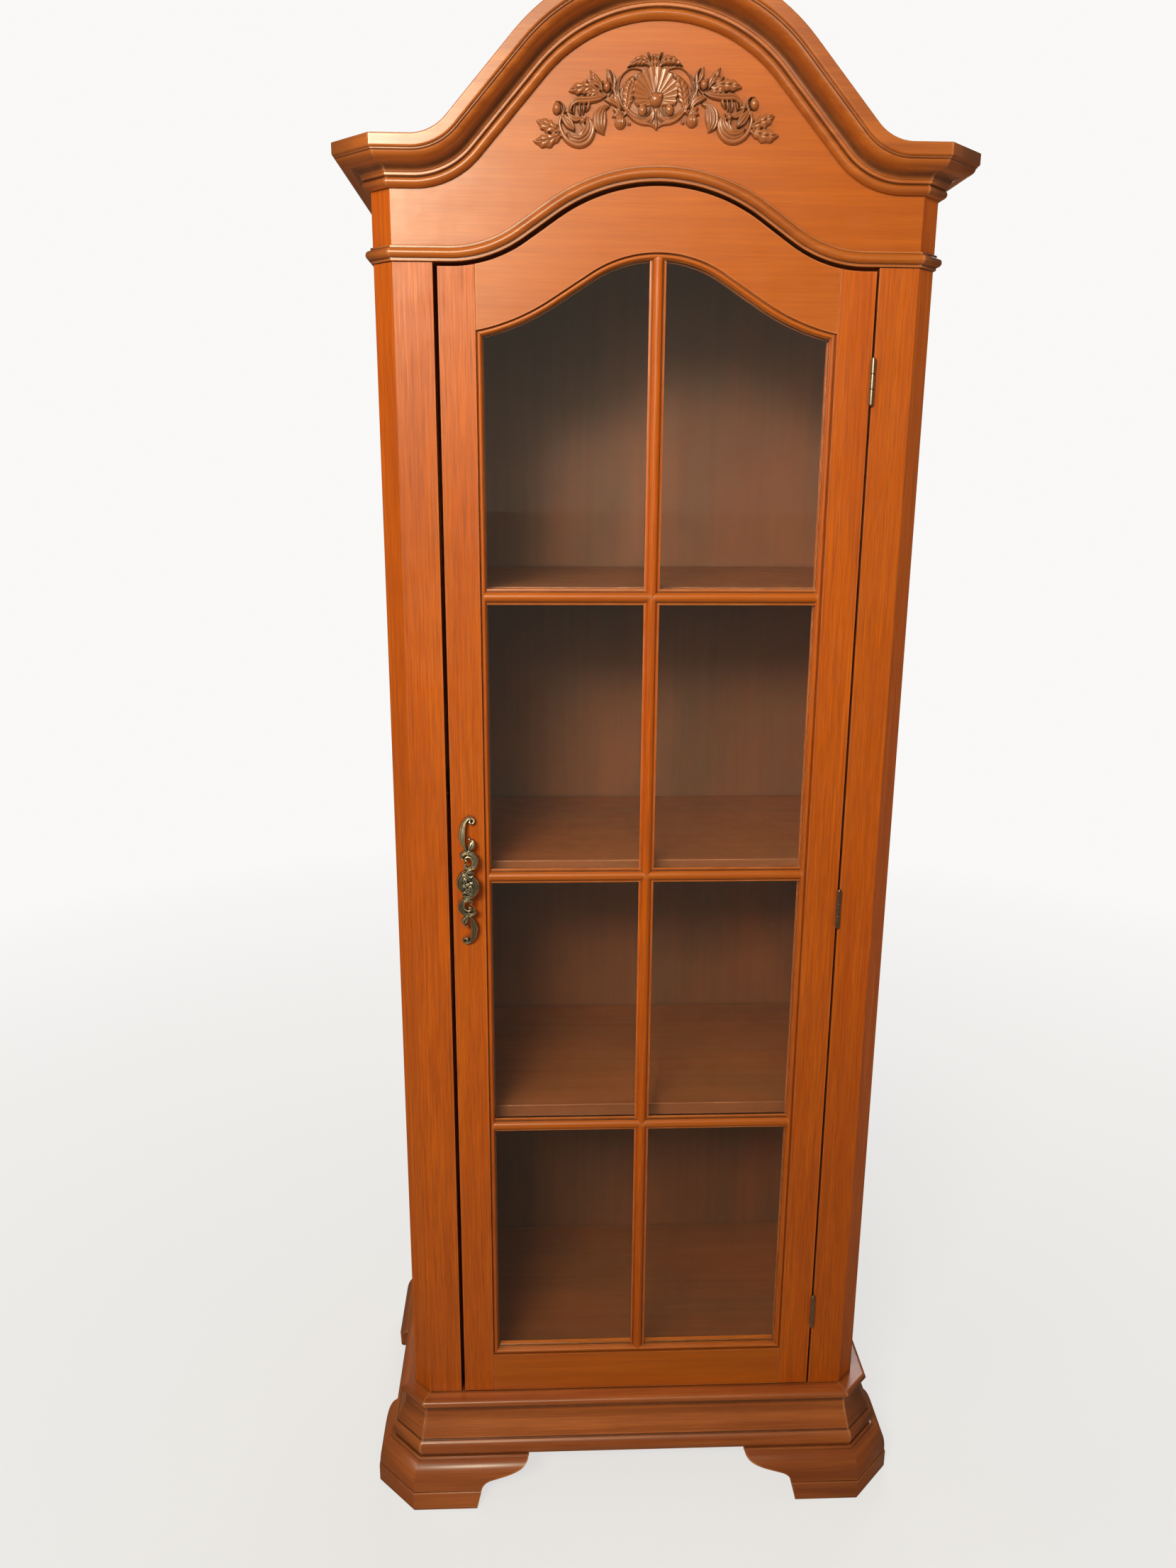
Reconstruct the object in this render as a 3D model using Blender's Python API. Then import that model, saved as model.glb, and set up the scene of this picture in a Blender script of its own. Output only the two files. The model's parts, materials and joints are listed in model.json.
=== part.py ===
"""Tower display case with canted posts, an arched bonnet top, a glazed door and bracket feet.

Sizes are in millimetres and become metres when a mesh is made. +Z is up and the front looks to -Y.
Depths are measured back from the front faces of the posts. The bounding box is centred on X and Y.
"""
import math

import bmesh
import bpy
from mathutils import Matrix, Vector

MM = 0.001
GAP = 0.3
TAN_MITRE = math.tan(math.radians(22.5))
MITRE_GAP = GAP / math.cos(math.radians(22.5))

# Levels above the floor.
FOOT_HEIGHT = 75.5
BASE_TOP = 158.6
BELT_BOTTOM = 1705.6
BELT_HEIGHT = 17.0
CORNICE_BOTTOM = 1781.6
CORNICE_HEIGHT = 47.0
CASE_TOP = CORNICE_BOTTOM + CORNICE_HEIGHT

# Plan of the case.
FACE_HALF = 304.2
CANT = 23.7
CASE_HALF = FACE_HALF + CANT
CASE_DEPTH = 372.0
FACE_THICK = 27.0
OPENING_HALF = 258.0
SIDE_THICK = 18.0
SIDE_INNER = CASE_HALF - SIDE_THICK
BOARD_THICK = 18.0
BACK_THICK = 6.7
BACK_RABBET = 8.0
BACK_FACE = CASE_DEPTH - BACK_THICK
BASE_INWARD = 30.0
BASE_BACK_THICK = 20.0
FOOT_OUT = 56.0
FOOT_INNER = 8.0
DEPTH_SHIFT = (CASE_DEPTH - FOOT_OUT) / 2

# Arches: two arcs joined by a straight slope.
# Each is (crown radius, foot radius, slope in degrees, rise).
CORNICE_CURVE = (173.6, 101.9, 47.9, 171.4)
DOOR_CURVE = (206.0, 158.0, 33.9, 86.6)
LIGHT_CURVE = (147.5, 258.3, 32.1, 91.0)
FRIEZE_UNDER_CORNICE = 40.0

# Door.
DOOR_X = 1.15
DOOR_HALF = 254.15
DOOR_THICK = 22.0
DOOR_BOTTOM = BASE_TOP + 1.5
DOOR_SPRING = 1701.1
LIGHT_HALF = 211.15
LIGHT_BOTTOM = 221.3
LIGHT_SPRING = 1627.4
LIP = 7.0
LIP_BACK = 10.0
LIP_ROOT = 1.0
GLASS_THICK = 3.0
GLASS_FRONT = LIP_BACK + GAP
BEAD_WIDTH = 7.4
BEAD_FRONT = GLASS_FRONT + GLASS_THICK + GAP
BEAD_BACK = DOOR_THICK - 0.4
BAR_LEVELS = (595.3, 961.3, 1324.9)
BAR_HALF = 9.75
BAR_RADIUS = 6.1
BAR_BASE = 7.6

# Shelves are level with the bars. A tongue along each end sits in a groove in the side.
SHELF_FRONT = 45.0
SHELF_TONGUE = 9.0
SHELF_GROOVE = 6.0

# Hinges.
HINGE_LEVELS = (287.0, 915.5, 1579.5)
HINGE_HEIGHT = 52.0
KNUCKLE_RADIUS = 3.0
PIN_RADIUS = 1.3
PIN_CLEARANCE = 0.05
LEAF_THICK = 1.2
LEAF_DEPTH = 18.0
LEAF_LET_IN = 0.5
AXIS_X = (OPENING_HALF + DOOR_X + DOOR_HALF) / 2
AXIS_DEPTH = -(KNUCKLE_RADIUS + GAP)

# Pull handle and its two bolts.
PULL_X = -231.5
PULL_Z = 959.4
PULL_HALF = 91.0
PULL_LEG = (7.2, 68.0)
PULL_LEG_RADIUS = 4.0
PULL_STROKE = 2.4
BOLT_RADIUS = 2.0
BOLT_HEAD_RADIUS = 5.0
BOLT_HEAD = 2.5

# Magnetic catch behind the left post: a block with a tongue that reaches behind the door.
CATCH_Z = 1085.0
CATCH_HALF = 14.0
CATCH_OUTER = -292.0
CATCH_INNER = -236.0
CATCH_BACK = 41.0
CATCH_TONGUE_OUTER = -256.0
CATCH_TONGUE_FRONT = 23.9
CATCH_TONGUE_BACK = 34.0
STRIKE_THICK = 1.2

# Carved ornament on the frieze.
CARVING_X = -6.3
CARVING_Z = 1875.0

SIDES = ((-1, "left"), (1, "right"))

WOOD = (0.42, 0.13, 0.035)
DARK_WOOD = (0.20, 0.07, 0.03)
BRASS = (0.42, 0.33, 0.16)
STEEL = (0.55, 0.55, 0.56)
GLASS = (0.75, 0.80, 0.78)


# ---------------------------------------------------------------- meshes and materials

def clear_scene():
    for old in list(bpy.data.objects):
        bpy.data.objects.remove(old, do_unlink=True)


def material(name, colour, roughness, metallic=0.0, transmission=0.0):
    mat = bpy.data.materials.new(name)
    mat.use_nodes = True
    shader = mat.node_tree.nodes["Principled BSDF"]
    shader.inputs["Base Color"].default_value = (*colour, 1.0)
    shader.inputs["Roughness"].default_value = roughness
    shader.inputs["Metallic"].default_value = metallic
    shader.inputs["Transmission Weight"].default_value = transmission
    return mat


FINISHES = {
    "wood": (WOOD, 0.3, 0.0, 0.0),
    "dark": (DARK_WOOD, 0.5, 0.0, 0.0),
    "brass": (BRASS, 0.35, 1.0, 0.0),
    "steel": (STEEL, 0.4, 1.0, 0.0),
    "glass": (GLASS, 0.03, 0.0, 1.0),
}


def make(name, rings_or_mesh, finish, origin=(0.0, 0.0, 0.0)):
    """Make one named object from (points, faces) in millimetres, with its origin where given."""
    points, faces = rings_or_mesh
    start = Vector((origin[0], origin[1] - DEPTH_SHIFT, origin[2]))
    mesh = bpy.data.meshes.new(name)
    placed = [(Vector((x, y - DEPTH_SHIFT, z)) - start) * MM for x, y, z in points]
    mesh.from_pydata(placed, [], faces)
    tidy = bmesh.new()
    tidy.from_mesh(mesh)
    bmesh.ops.recalc_face_normals(tidy, faces=tidy.faces)
    tidy.to_mesh(mesh)
    tidy.free()
    shade(mesh)
    mesh.materials.append(material(name + "_finish", *FINISHES[finish]))
    obj = bpy.data.objects.new(name, mesh)
    obj.location = start * MM
    bpy.context.collection.objects.link(obj)
    return obj


def shade(mesh):
    for face in mesh.polygons:
        face.use_smooth = True
    mesh.set_sharp_from_angle(angle=math.radians(32))


def combine(obj, tools, operation):
    """Join or cut obj with (points, faces) solids, one at a time."""
    for number, tool in enumerate(tools):
        other = make("tool", tool, "steel")
        step = obj.modifiers.new("step%d" % number, "BOOLEAN")
        step.operation = operation
        step.solver = "EXACT"
        step.object = other
        bpy.context.view_layer.update()
        graph = bpy.context.evaluated_depsgraph_get()
        result = bpy.data.meshes.new_from_object(obj.evaluated_get(graph))
        obj.modifiers.clear()
        obj.data = result
        bpy.data.objects.remove(other, do_unlink=True)
    while len(obj.data.materials) > 1:
        obj.data.materials.pop(index=len(obj.data.materials) - 1)
    for face in obj.data.polygons:
        face.material_index = 0
    weld(obj.data)
    shade(obj.data)
    return obj


def weld(mesh):
    tidy = bmesh.new()
    tidy.from_mesh(mesh)
    bmesh.ops.remove_doubles(tidy, verts=tidy.verts, dist=0.01 * MM)
    bmesh.ops.dissolve_degenerate(tidy, edges=tidy.edges, dist=0.005 * MM)
    tidy.to_mesh(mesh)
    tidy.free()


def loft(rings):
    """Closed solid through rings that all have the same number of points."""
    count = len(rings[0])
    points = [point for ring in rings for point in ring]
    faces = []
    for row in range(len(rings) - 1):
        for i in range(count):
            j = (i + 1) % count
            a = row * count
            b = a + count
            faces.append((a + i, a + j, b + j, b + i))
    faces.append(tuple(range(count)))
    faces.append(tuple(range((len(rings) - 1) * count, len(rings) * count)))
    return points, faces


def flat_facets(solid):
    """Split the quads of a curved solid into triangles, which are always flat."""
    points, faces = solid
    facets = []
    for face in faces:
        if len(face) == 4:
            a, b, c, d = face
            facets += [(a, b, c), (a, c, d)]
        else:
            facets.append(face)
    return points, facets


def box(x0, x1, y0, y1, z0, z1):
    plan = [(x0, y0), (x1, y0), (x1, y1), (x0, y1)]
    return plan_prism(plan, z0, z1)


def plan_prism(plan, z0, z1):
    return loft([[(x, y, z) for x, y in plan] for z in (z0, z1)])


def face_prism(outline, y0, y1):
    return loft([[(x, y, z) for x, z in outline] for y in (y0, y1)])


def side_prism(outline, x0, x1):
    return loft([[(x, y, z) for y, z in outline] for x in (x0, x1)])


def rod(x, z, radius, y0, y1, sides=14):
    ring = [turn(radius, radius, 360.0 * i / sides) for i in range(sides)]
    return loft([[(x + u, y, z + v) for u, v in ring] for y in (y0, y1)])


def upright_tube(x, y, radius, z0, z1, sides=16):
    ring = [turn(radius, radius, 360.0 * i / sides) for i in range(sides)]
    return loft([[(x + u, y + v, z) for u, v in ring] for z in (z0, z1)])


# ---------------------------------------------------------------- curves

def turn(rx, ry, degrees):
    angle = math.radians(degrees)
    return rx * math.cos(angle), ry * math.sin(angle)


def arc(centre, rx, ry, start, end, steps):
    points = []
    for i in range(steps + 1):
        u, v = turn(rx, ry, start + (end - start) * i / steps)
        points.append((centre[0] + u, centre[1] + v))
    return points


def bezier(a, b, c, d, steps):
    points = []
    for i in range(1, steps + 1):
        t = i / steps
        weights = ((1 - t) ** 3, 3 * t * (1 - t) ** 2, 3 * t * t * (1 - t), t ** 3)
        points.append(tuple(sum(w * p[k] for w, p in zip(weights, (a, b, c, d))) for k in (0, 1)))
    return points


def half_arch(curve, steps=7):
    """Points and outward normals of an arch from its crown to its foot, with the foot at height 0."""
    crown, foot, slope, rise = curve
    angle = math.radians(slope)
    both = crown + foot
    straight = (rise - both * (1 - math.cos(angle))) / math.sin(angle)
    span = both * math.sin(angle) + straight * math.cos(angle)
    stations = []
    for i in range(steps + 1):
        a = angle * i / steps
        stations.append((crown * math.sin(a), rise - crown * (1 - math.cos(a)), math.sin(a), math.cos(a)))
    for i in range(steps + 1):
        a = angle * (1 - i / steps)
        stations.append((span - foot * math.sin(a), foot * (1 - math.cos(a)), math.sin(a), math.cos(a)))
    return stations


def arch(curve, offset, level):
    """Arch line from left foot to right foot, moved outward by offset and raised to level."""
    right = []
    for x, z, nx, nz in half_arch(curve):
        right.append((x + offset * nx, level + z + offset * nz))
    left = [(-x, z) for x, z in reversed(right)]
    return left[:-1] + right


def arch_height(line, x):
    if x <= line[0][0] or x >= line[-1][0]:
        return line[0][1]
    for (xa, za), (xb, zb) in zip(line, line[1:]):
        if xa <= x <= xb:
            return za + (zb - za) * (x - xa) / (xb - xa)
    return line[0][1]


def arch_between(line, x0, x1):
    """The part of an arch line between two x values, with both ends added."""
    inner = [(x, z) for x, z in line if x0 + 0.5 < x < x1 - 0.5]
    return [(x0, arch_height(line, x0))] + inner + [(x1, arch_height(line, x1))]


def smooth_path(knots, steps):
    """Catmull-Rom path through knots."""
    path = []
    last = len(knots) - 1
    for i in range(last):
        p = [knots[max(0, min(last, i + k))] for k in (-1, 0, 1, 2)]
        for s in range(steps):
            t = s / steps
            path.append(tuple(
                0.5 * (2 * b + (c - a) * t + (2 * a - 5 * b + 4 * c - d) * t * t
                       + (3 * b - a - 3 * c + d) * t ** 3)
                for a, b, c, d in zip(*p)))
    path.append(tuple(knots[last]))
    return path


# ---------------------------------------------------------------- moulding profiles
# A profile is a list of (projection from the case, height).

def cornice_profile():
    return (
        [(GAP, 0.0)]
        + arc((2.2, 5.6), 6.6, 5.6, -90, 55, 6)
        + [(9.7, 11.2), (9.7, 14.2)]
        + arc((24.0, 14.5), 13.2, 8.0, 180, 95, 5)
        + arc((24.6, 30.5), 11.2, 7.7, -85, 0, 6)
        + [(37.4, 31.4)]
        + arc((37.4, 35.2), 2.6, 2.4, -90, 0, 3)
        + arc((38.6, 45.6), 1.4, 1.4, 0, 90, 2)
        + [(GAP, CORNICE_HEIGHT)]
    )


def belt_profile():
    return (
        [(GAP, 0.0), (2.8, 0.0), (2.8, 2.9)]
        + arc((2.8, 8.6), 5.6, 5.3, -90, 90, 8)
        + [(2.8, 15.4)]
        + arc((1.6, 15.8), 1.2, 1.2, 0, 90, 2)
        + [(GAP, BELT_HEIGHT)]
    )


def base_profile():
    """Nosing, cove, swelling band, step and lower bead, down to the top of the feet."""
    return (
        [(-BASE_INWARD, BASE_TOP), (16.0, BASE_TOP)]
        + arc((16.6, BASE_TOP - 4.9), 5.1, 4.9, 90, -75, 7)
        + arc((19.4, BASE_TOP - 18.5), 5.4, 8.0, 100, 205, 5)
        + bezier((14.6, BASE_TOP - 22.5), (15.6, BASE_TOP - 34.0), (22.5, BASE_TOP - 41.0),
                 (26.8, BASE_TOP - 55.0), 5)
        + [(28.6, BASE_TOP - 56.6), (28.6, BASE_TOP - 58.4), (31.2, BASE_TOP - 58.9)]
        + arc((27.6, BASE_TOP - 71.0), 6.9, 11.6, 58, -50, 6)
        + [(30.6, FOOT_HEIGHT + GAP), (-BASE_INWARD, FOOT_HEIGHT + GAP)]
    )


def foot_profile():
    """Ogee bulge over a plain block."""
    return (
        [(FOOT_INNER, FOOT_HEIGHT), (34.6, FOOT_HEIGHT), (35.4, 73.6)]
        + bezier((35.4, 73.6), (44.0, 71.5), (54.0, 64.0), (54.6, 36.0), 9)
        + [(54.6, 33.6), (53.4, 33.0), (53.4, 32.0)]
        + arc((54.0, 30.0), 2.0, 2.0, 90, 0, 2)
        + arc((51.0, 5.0), 5.0, 5.0, 0, -90, 4)
        + [(FOOT_INNER, 0.0)]
    )


def lip_profile():
    """Bead round the glass: (distance into the opening, depth), with a root inside the frame member."""
    return (
        [(-LIP_ROOT, 3.8), (0.9, 3.8)]
        + arc((3.5, 4.4), 2.6, -2.6, 167, 0, 7)
        + [(6.1, 5.4), (LIP, 5.8), (LIP, LIP_BACK), (-LIP_ROOT, LIP_BACK)]
    )


def bar_profile():
    """Half-round glazing bar on a flat base: (half width, depth) from the left edge to the right."""
    crown = [(u, BAR_BASE - v) for u, v in arc((0.0, 0.0), BAR_RADIUS, BAR_RADIUS, 180, 0, 10)]
    return (
        [(-BAR_HALF, LIP_BACK), (-BAR_HALF, BAR_BASE + 0.4), (-BAR_HALF + 2.2, BAR_BASE)]
        + crown
        + [(BAR_HALF - 2.2, BAR_BASE), (BAR_HALF, BAR_BASE + 0.4), (BAR_HALF, LIP_BACK)]
    )


# ---------------------------------------------------------------- wrapped mouldings

def wrap_rings(profile, side, base_z, back):
    """Rings of a side moulding: at the front mitre, at the side mitre and at the back."""
    front = [(side * (FACE_HALF + TAN_MITRE * p + MITRE_GAP / 2), -p, base_z + h) for p, h in profile]
    corner = [(side * (CASE_HALF + p), CANT - TAN_MITRE * p, base_z + h) for p, h in profile]
    end = [(side * (CASE_HALF + p), back, base_z + h) for p, h in profile]
    return [front, corner, end]


def arched_rings(profile, curve, base_z):
    """Rings of a front moulding that follows an arch and ends in mitres."""
    stations = half_arch(curve)
    half = [[(x + h * nx, -p, base_z + z + h * nz) for p, h in profile] for x, z, nx, nz in stations]
    half.append([(FACE_HALF + TAN_MITRE * p - MITRE_GAP / 2, -p, base_z + h) for p, h in profile])
    mirror = [[(-x, y, z) for x, y, z in ring] for ring in reversed(half)]
    return mirror[:-1] + half


def straight_front_rings(profile):
    right = [(FACE_HALF + TAN_MITRE * p - MITRE_GAP / 2, -p, h) for p, h in profile]
    return [[(-x, y, z) for x, y, z in right], right]


def build_moulding(name, profile, front_rings, level):
    """One front length and two mitred returns."""
    make(name + "_front", loft(front_rings), "wood")
    for side, word in SIDES:
        make(name + "_" + word, loft(wrap_rings(profile, side, level, CASE_DEPTH)), "wood")


def build_mouldings():
    arched = (
        ("cornice", cornice_profile(), CORNICE_CURVE, CORNICE_BOTTOM),
        ("belt", belt_profile(), belt_curve(), BELT_BOTTOM),
    )
    for name, profile, curve, level in arched:
        build_moulding(name, profile, arched_rings(profile, curve, level), level)
    profile = base_profile()
    build_moulding("base", profile, straight_front_rings(profile), 0.0)
    inner = CASE_HALF - BASE_INWARD - GAP
    back = box(-inner, inner, CASE_DEPTH - BASE_BACK_THICK, CASE_DEPTH, FOOT_HEIGHT + GAP, BASE_TOP)
    make("base_back", back, "wood")


def belt_curve():
    """The door's top curve moved outward by the gap above the door."""
    crown, foot, slope, rise = DOOR_CURVE
    gap = BELT_BOTTOM - DOOR_SPRING
    return (crown + gap, foot - gap, slope, rise)


# ---------------------------------------------------------------- carcass

def post_plan(side):
    plan = [
        (OPENING_HALF, 0.0), (FACE_HALF, 0.0), (CASE_HALF, CANT), (CASE_HALF, FACE_THICK),
        (OPENING_HALF, FACE_THICK),
    ]
    return [(side * x, y) for x, y in plan]


def build_posts():
    make("post_left", plan_prism(post_plan(-1), BASE_TOP + GAP, BELT_BOTTOM - GAP), "wood")
    right = make("post_right", plan_prism(post_plan(1), BASE_TOP + GAP, BELT_BOTTOM - GAP), "wood")
    combine(right, [hinge_recess(z, 1) for z in HINGE_LEVELS], "DIFFERENCE")


def hinge_recess(level, side):
    """Shallow housing for a leaf: side 1 cuts the post, side -1 cuts the door."""
    half = HINGE_HEIGHT / 2 + GAP
    edge = OPENING_HALF if side > 0 else DOOR_X + DOOR_HALF
    far = edge + side * LEAF_LET_IN
    near = edge - side * 2.0
    return box(min(near, far), max(near, far), -1.0, LEAF_DEPTH + GAP, level - half, level + half)


def build_sides():
    for side, word in SIDES:
        plan = [(SIDE_INNER, FACE_THICK + GAP), (CASE_HALF, FACE_THICK + GAP), (CASE_HALF, CASE_DEPTH),
                (SIDE_INNER + BACK_RABBET, CASE_DEPTH), (SIDE_INNER + BACK_RABBET, BACK_FACE - GAP),
                (SIDE_INNER, BACK_FACE - GAP)]
        shape = plan_prism([(side * x, y) for x, y in plan], BASE_TOP + GAP, CASE_TOP)
        panel = make("side_" + word, shape, "wood")
        grooves = []
        for level in BAR_LEVELS:
            x0, x1 = sorted((side * (SIDE_INNER - 2.0), side * (SIDE_INNER + SHELF_GROOVE)))
            low = level - BOARD_THICK / 2 - GAP
            high = low + SHELF_TONGUE + 2 * GAP
            grooves.append(box(x0, x1, SHELF_FRONT - GAP, CASE_DEPTH, low, high))
        combine(panel, grooves, "DIFFERENCE")


def build_boards():
    inner = SIDE_INNER - GAP
    front = FACE_THICK + GAP
    back = BACK_FACE - GAP
    for name, low in (("floor_board", BASE_TOP + GAP), ("top_board", CASE_TOP - BOARD_THICK)):
        make(name, box(-inner, inner, front, back, low, low + BOARD_THICK), "wood")
    for number, level in enumerate(BAR_LEVELS, 1):
        make("shelf_%d" % number, face_prism(shelf_section(level), SHELF_FRONT, back), "wood")
    edge = SIDE_INNER + BACK_RABBET - GAP
    make("back_panel", box(-edge, edge, BACK_FACE, CASE_DEPTH, BASE_TOP + GAP, CASE_TOP), "dark")


def shelf_section(level):
    """Front view of a shelf: the board between the sides, with the tongues at its lower edge."""
    inner = SIDE_INNER - GAP
    tip = SIDE_INNER + SHELF_GROOVE - GAP
    low = level - BOARD_THICK / 2
    step = low + SHELF_TONGUE
    half = [(tip, low), (tip, step), (inner, step), (inner, low + BOARD_THICK)]
    return half + [(-x, z) for x, z in reversed(half)]


def build_frieze():
    """Board with an arched lower edge over the door, an arched top behind the cornice and canted ends."""
    lower = arch(belt_curve(), 0.0, BELT_BOTTOM)
    upper = arch(CORNICE_CURVE, FRIEZE_UNDER_CORNICE, CORNICE_BOTTOM)

    def ring(half, y):
        foot = [(-half, y, BELT_BOTTOM)] + [(x, y, z) for x, z in lower] + [(half, y, BELT_BOTTOM)]
        head_z = CORNICE_BOTTOM + FRIEZE_UNDER_CORNICE
        head = [(-half, y, head_z)] + [(x, y, z) for x, z in upper] + [(half, y, head_z)]
        return foot + list(reversed(head))

    rings = [ring(FACE_HALF, 0.0), ring(CASE_HALF, CANT), ring(CASE_HALF, FACE_THICK)]
    make("frieze", loft(rings), "wood")


# ---------------------------------------------------------------- feet

def bracket_cut(reach, drop=5.0):
    """Region under a bracket foot, measured from the foot's inner bottom corner as (along, up)."""
    line = [(0.0, 0.0), (7.0, 31.0)]
    line += bezier(line[-1], (9.0, 42.0), (13.0, 46.5), (26.0, 50.0), 5)
    top = FOOT_HEIGHT + 1.0
    line += bezier(line[-1], (13.0 + 0.5 * reach, 57.0), (reach - 5.0, 62.0), (reach, top), 7)
    return [(0.0, -drop)] + line + [(reach + 60.0, top), (reach + 60.0, -drop)]


def build_feet():
    front_inner = 235.7
    front_reach = 77.3
    side_width = 86.0
    side_reach = 55.0
    wing_front = front_inner - front_reach
    side_end = side_width + side_reach
    profile = foot_profile()
    for side, word in SIDES:
        tip = [(side * wing_front, -p, h) for p, h in profile]
        mitre = [(side * (FACE_HALF + TAN_MITRE * p), -p, h) for p, h in profile]
        corner = [(side * (CASE_HALF + p), CANT - TAN_MITRE * p, h) for p, h in profile]
        end = [(side * (CASE_HALF + p), side_end - FOOT_OUT, h) for p, h in profile]
        foot = make("foot_front_" + word, loft([tip, mitre, corner, end]), "wood")
        front_cut = [(side * (front_inner - u), z) for u, z in bracket_cut(front_reach)]
        side_cut = [(side_width - FOOT_OUT + u, z) for u, z in bracket_cut(side_reach)]
        x0, x1 = sorted((side * (CASE_HALF - 15.0), side * (CASE_HALF + 70.0)))
        combine(foot, [face_prism(front_cut, -70.0, 5.0), side_prism(side_cut, x0, x1)], "DIFFERENCE")
        build_rear_foot(side, word, side_width, side_reach, profile)


def build_rear_foot(side, word, width, reach, profile):
    start = CASE_DEPTH - width - reach
    rings = [[(side * (CASE_HALF + p), y, h) for p, h in profile] for y in (start, CASE_DEPTH)]
    foot = make("foot_rear_" + word, loft(rings), "wood")
    x0, x1 = sorted((side * (CASE_HALF - 45.0), side * (CASE_HALF + 20.0)))
    combine(foot, [box(x0, x1, CASE_DEPTH - 22.0, CASE_DEPTH, 0.0, FOOT_HEIGHT)], "UNION")
    cut = [(CASE_DEPTH - width - u, z) for u, z in bracket_cut(reach)]
    x0, x1 = sorted((side * (CASE_HALF - 15.0), side * (CASE_HALF + 70.0)))
    combine(foot, [side_prism(cut, x0, x1)], "DIFFERENCE")


# ---------------------------------------------------------------- door

def door_line(curve, offset, level):
    return [(x + DOOR_X, z) for x, z in arch(curve, offset, level)]


def door_piece(name, shape, finish):
    return make(name, shape, finish, origin=(AXIS_X, AXIS_DEPTH, 0.0))


def upright_lip(side):
    """Lip of a stile, mitred at both ends."""
    low = []
    high = []
    for s, depth in lip_profile():
        x = DOOR_X + side * (LIGHT_HALF - s)
        top = arch_height(door_line(LIGHT_CURVE, -s, LIGHT_SPRING), x)
        low.append((x, depth, LIGHT_BOTTOM + s + GAP))
        high.append((x, depth, top - GAP))
    return loft([low, high])


def build_stiles():
    top_line = door_line(DOOR_CURVE, 0.0, DOOR_SPRING)
    for side, word in SIDES:
        x0, x1 = sorted((DOOR_X + side * LIGHT_HALF, DOOR_X + side * DOOR_HALF))
        outline = [(x0, DOOR_BOTTOM), (x1, DOOR_BOTTOM)] + list(reversed(arch_between(top_line, x0, x1)))
        stile = door_piece("stile_" + word, face_prism(outline, 0.0, DOOR_THICK), "wood")
        combine(stile, [upright_lip(side)], "UNION")
        if side > 0:
            combine(stile, [hinge_recess(z, -1) for z in HINGE_LEVELS], "DIFFERENCE")
        else:
            holes = [rod(x, z, BOLT_RADIUS + GAP, -1.0, DOOR_THICK + 1.0) for x, z in bolt_places()]
            combine(stile, holes, "DIFFERENCE")


def build_top_rail():
    x0 = DOOR_X - LIGHT_HALF + GAP
    x1 = DOOR_X + LIGHT_HALF - GAP
    upper = arch_between(door_line(DOOR_CURVE, 0.0, DOOR_SPRING), x0, x1)
    lower = arch_between(door_line(LIGHT_CURVE, 0.0, LIGHT_SPRING), x0, x1)
    rail = door_piece("rail_top", face_prism(lower + list(reversed(upper)), 0.0, DOOR_THICK), "wood")
    rings = []
    for x, z, nx, nz in half_arch(LIGHT_CURVE):
        if x < LIGHT_HALF - 20.0:
            x += DOOR_X
            z += LIGHT_SPRING
            rings.append([(x - s * nx, depth, z - s * nz) for s, depth in lip_profile()])
    end = []
    for s, depth in lip_profile():
        x = DOOR_X + LIGHT_HALF - max(s, GAP) - GAP
        end.append((x, depth, arch_height(door_line(LIGHT_CURVE, -s, LIGHT_SPRING), x)))
    rings.append(end)
    mirror = [[(2 * DOOR_X - x, y, z) for x, y, z in ring] for ring in reversed(rings)]
    return combine(rail, [loft(mirror[:-1] + rings)], "UNION")


def build_bottom_rail():
    half = LIGHT_HALF - GAP
    board = box(DOOR_X - half, DOOR_X + half, 0.0, DOOR_THICK, DOOR_BOTTOM, LIGHT_BOTTOM)
    rail = door_piece("rail_bottom", board, "wood")
    edge = DOOR_X + LIGHT_HALF - GAP
    right = [(edge - max(s, GAP), depth, LIGHT_BOTTOM + s) for s, depth in lip_profile()]
    left = [(2 * DOOR_X - x, y, z) for x, y, z in right]
    return combine(rail, [loft([left, right])], "UNION")


def build_bars():
    inner = LIGHT_HALF - LIP - GAP
    crown = LIGHT_SPRING + LIGHT_CURVE[3] - LIP - 0.4 - GAP
    plan = [(DOOR_X + u, depth) for u, depth in bar_profile()]
    door_piece("bar_upright", plan_prism(plan, LIGHT_BOTTOM + LIP + GAP, crown), "wood")
    for number, level in enumerate(BAR_LEVELS, 1):
        section = [(depth, level + u) for u, depth in bar_profile()]
        for side, word in SIDES:
            x0, x1 = sorted((DOOR_X + side * inner, DOOR_X + side * (BAR_HALF + GAP)))
            door_piece("bar_%d_%s" % (number, word), side_prism(section, x0, x1), "wood")


def build_glass():
    half = LIGHT_HALF - 0.6
    x0, x1 = DOOR_X - half, DOOR_X + half
    top = arch_between(door_line(LIGHT_CURVE, -0.6, LIGHT_SPRING), x0, x1)
    bottom = LIGHT_BOTTOM + 0.6
    pane = [(x0, bottom), (x1, bottom)] + list(reversed(top))
    door_piece("glass_pane", face_prism(pane, GLASS_FRONT, GLASS_FRONT + GLASS_THICK), "glass")
    build_glass_beads(x0, x1, bottom)


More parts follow.
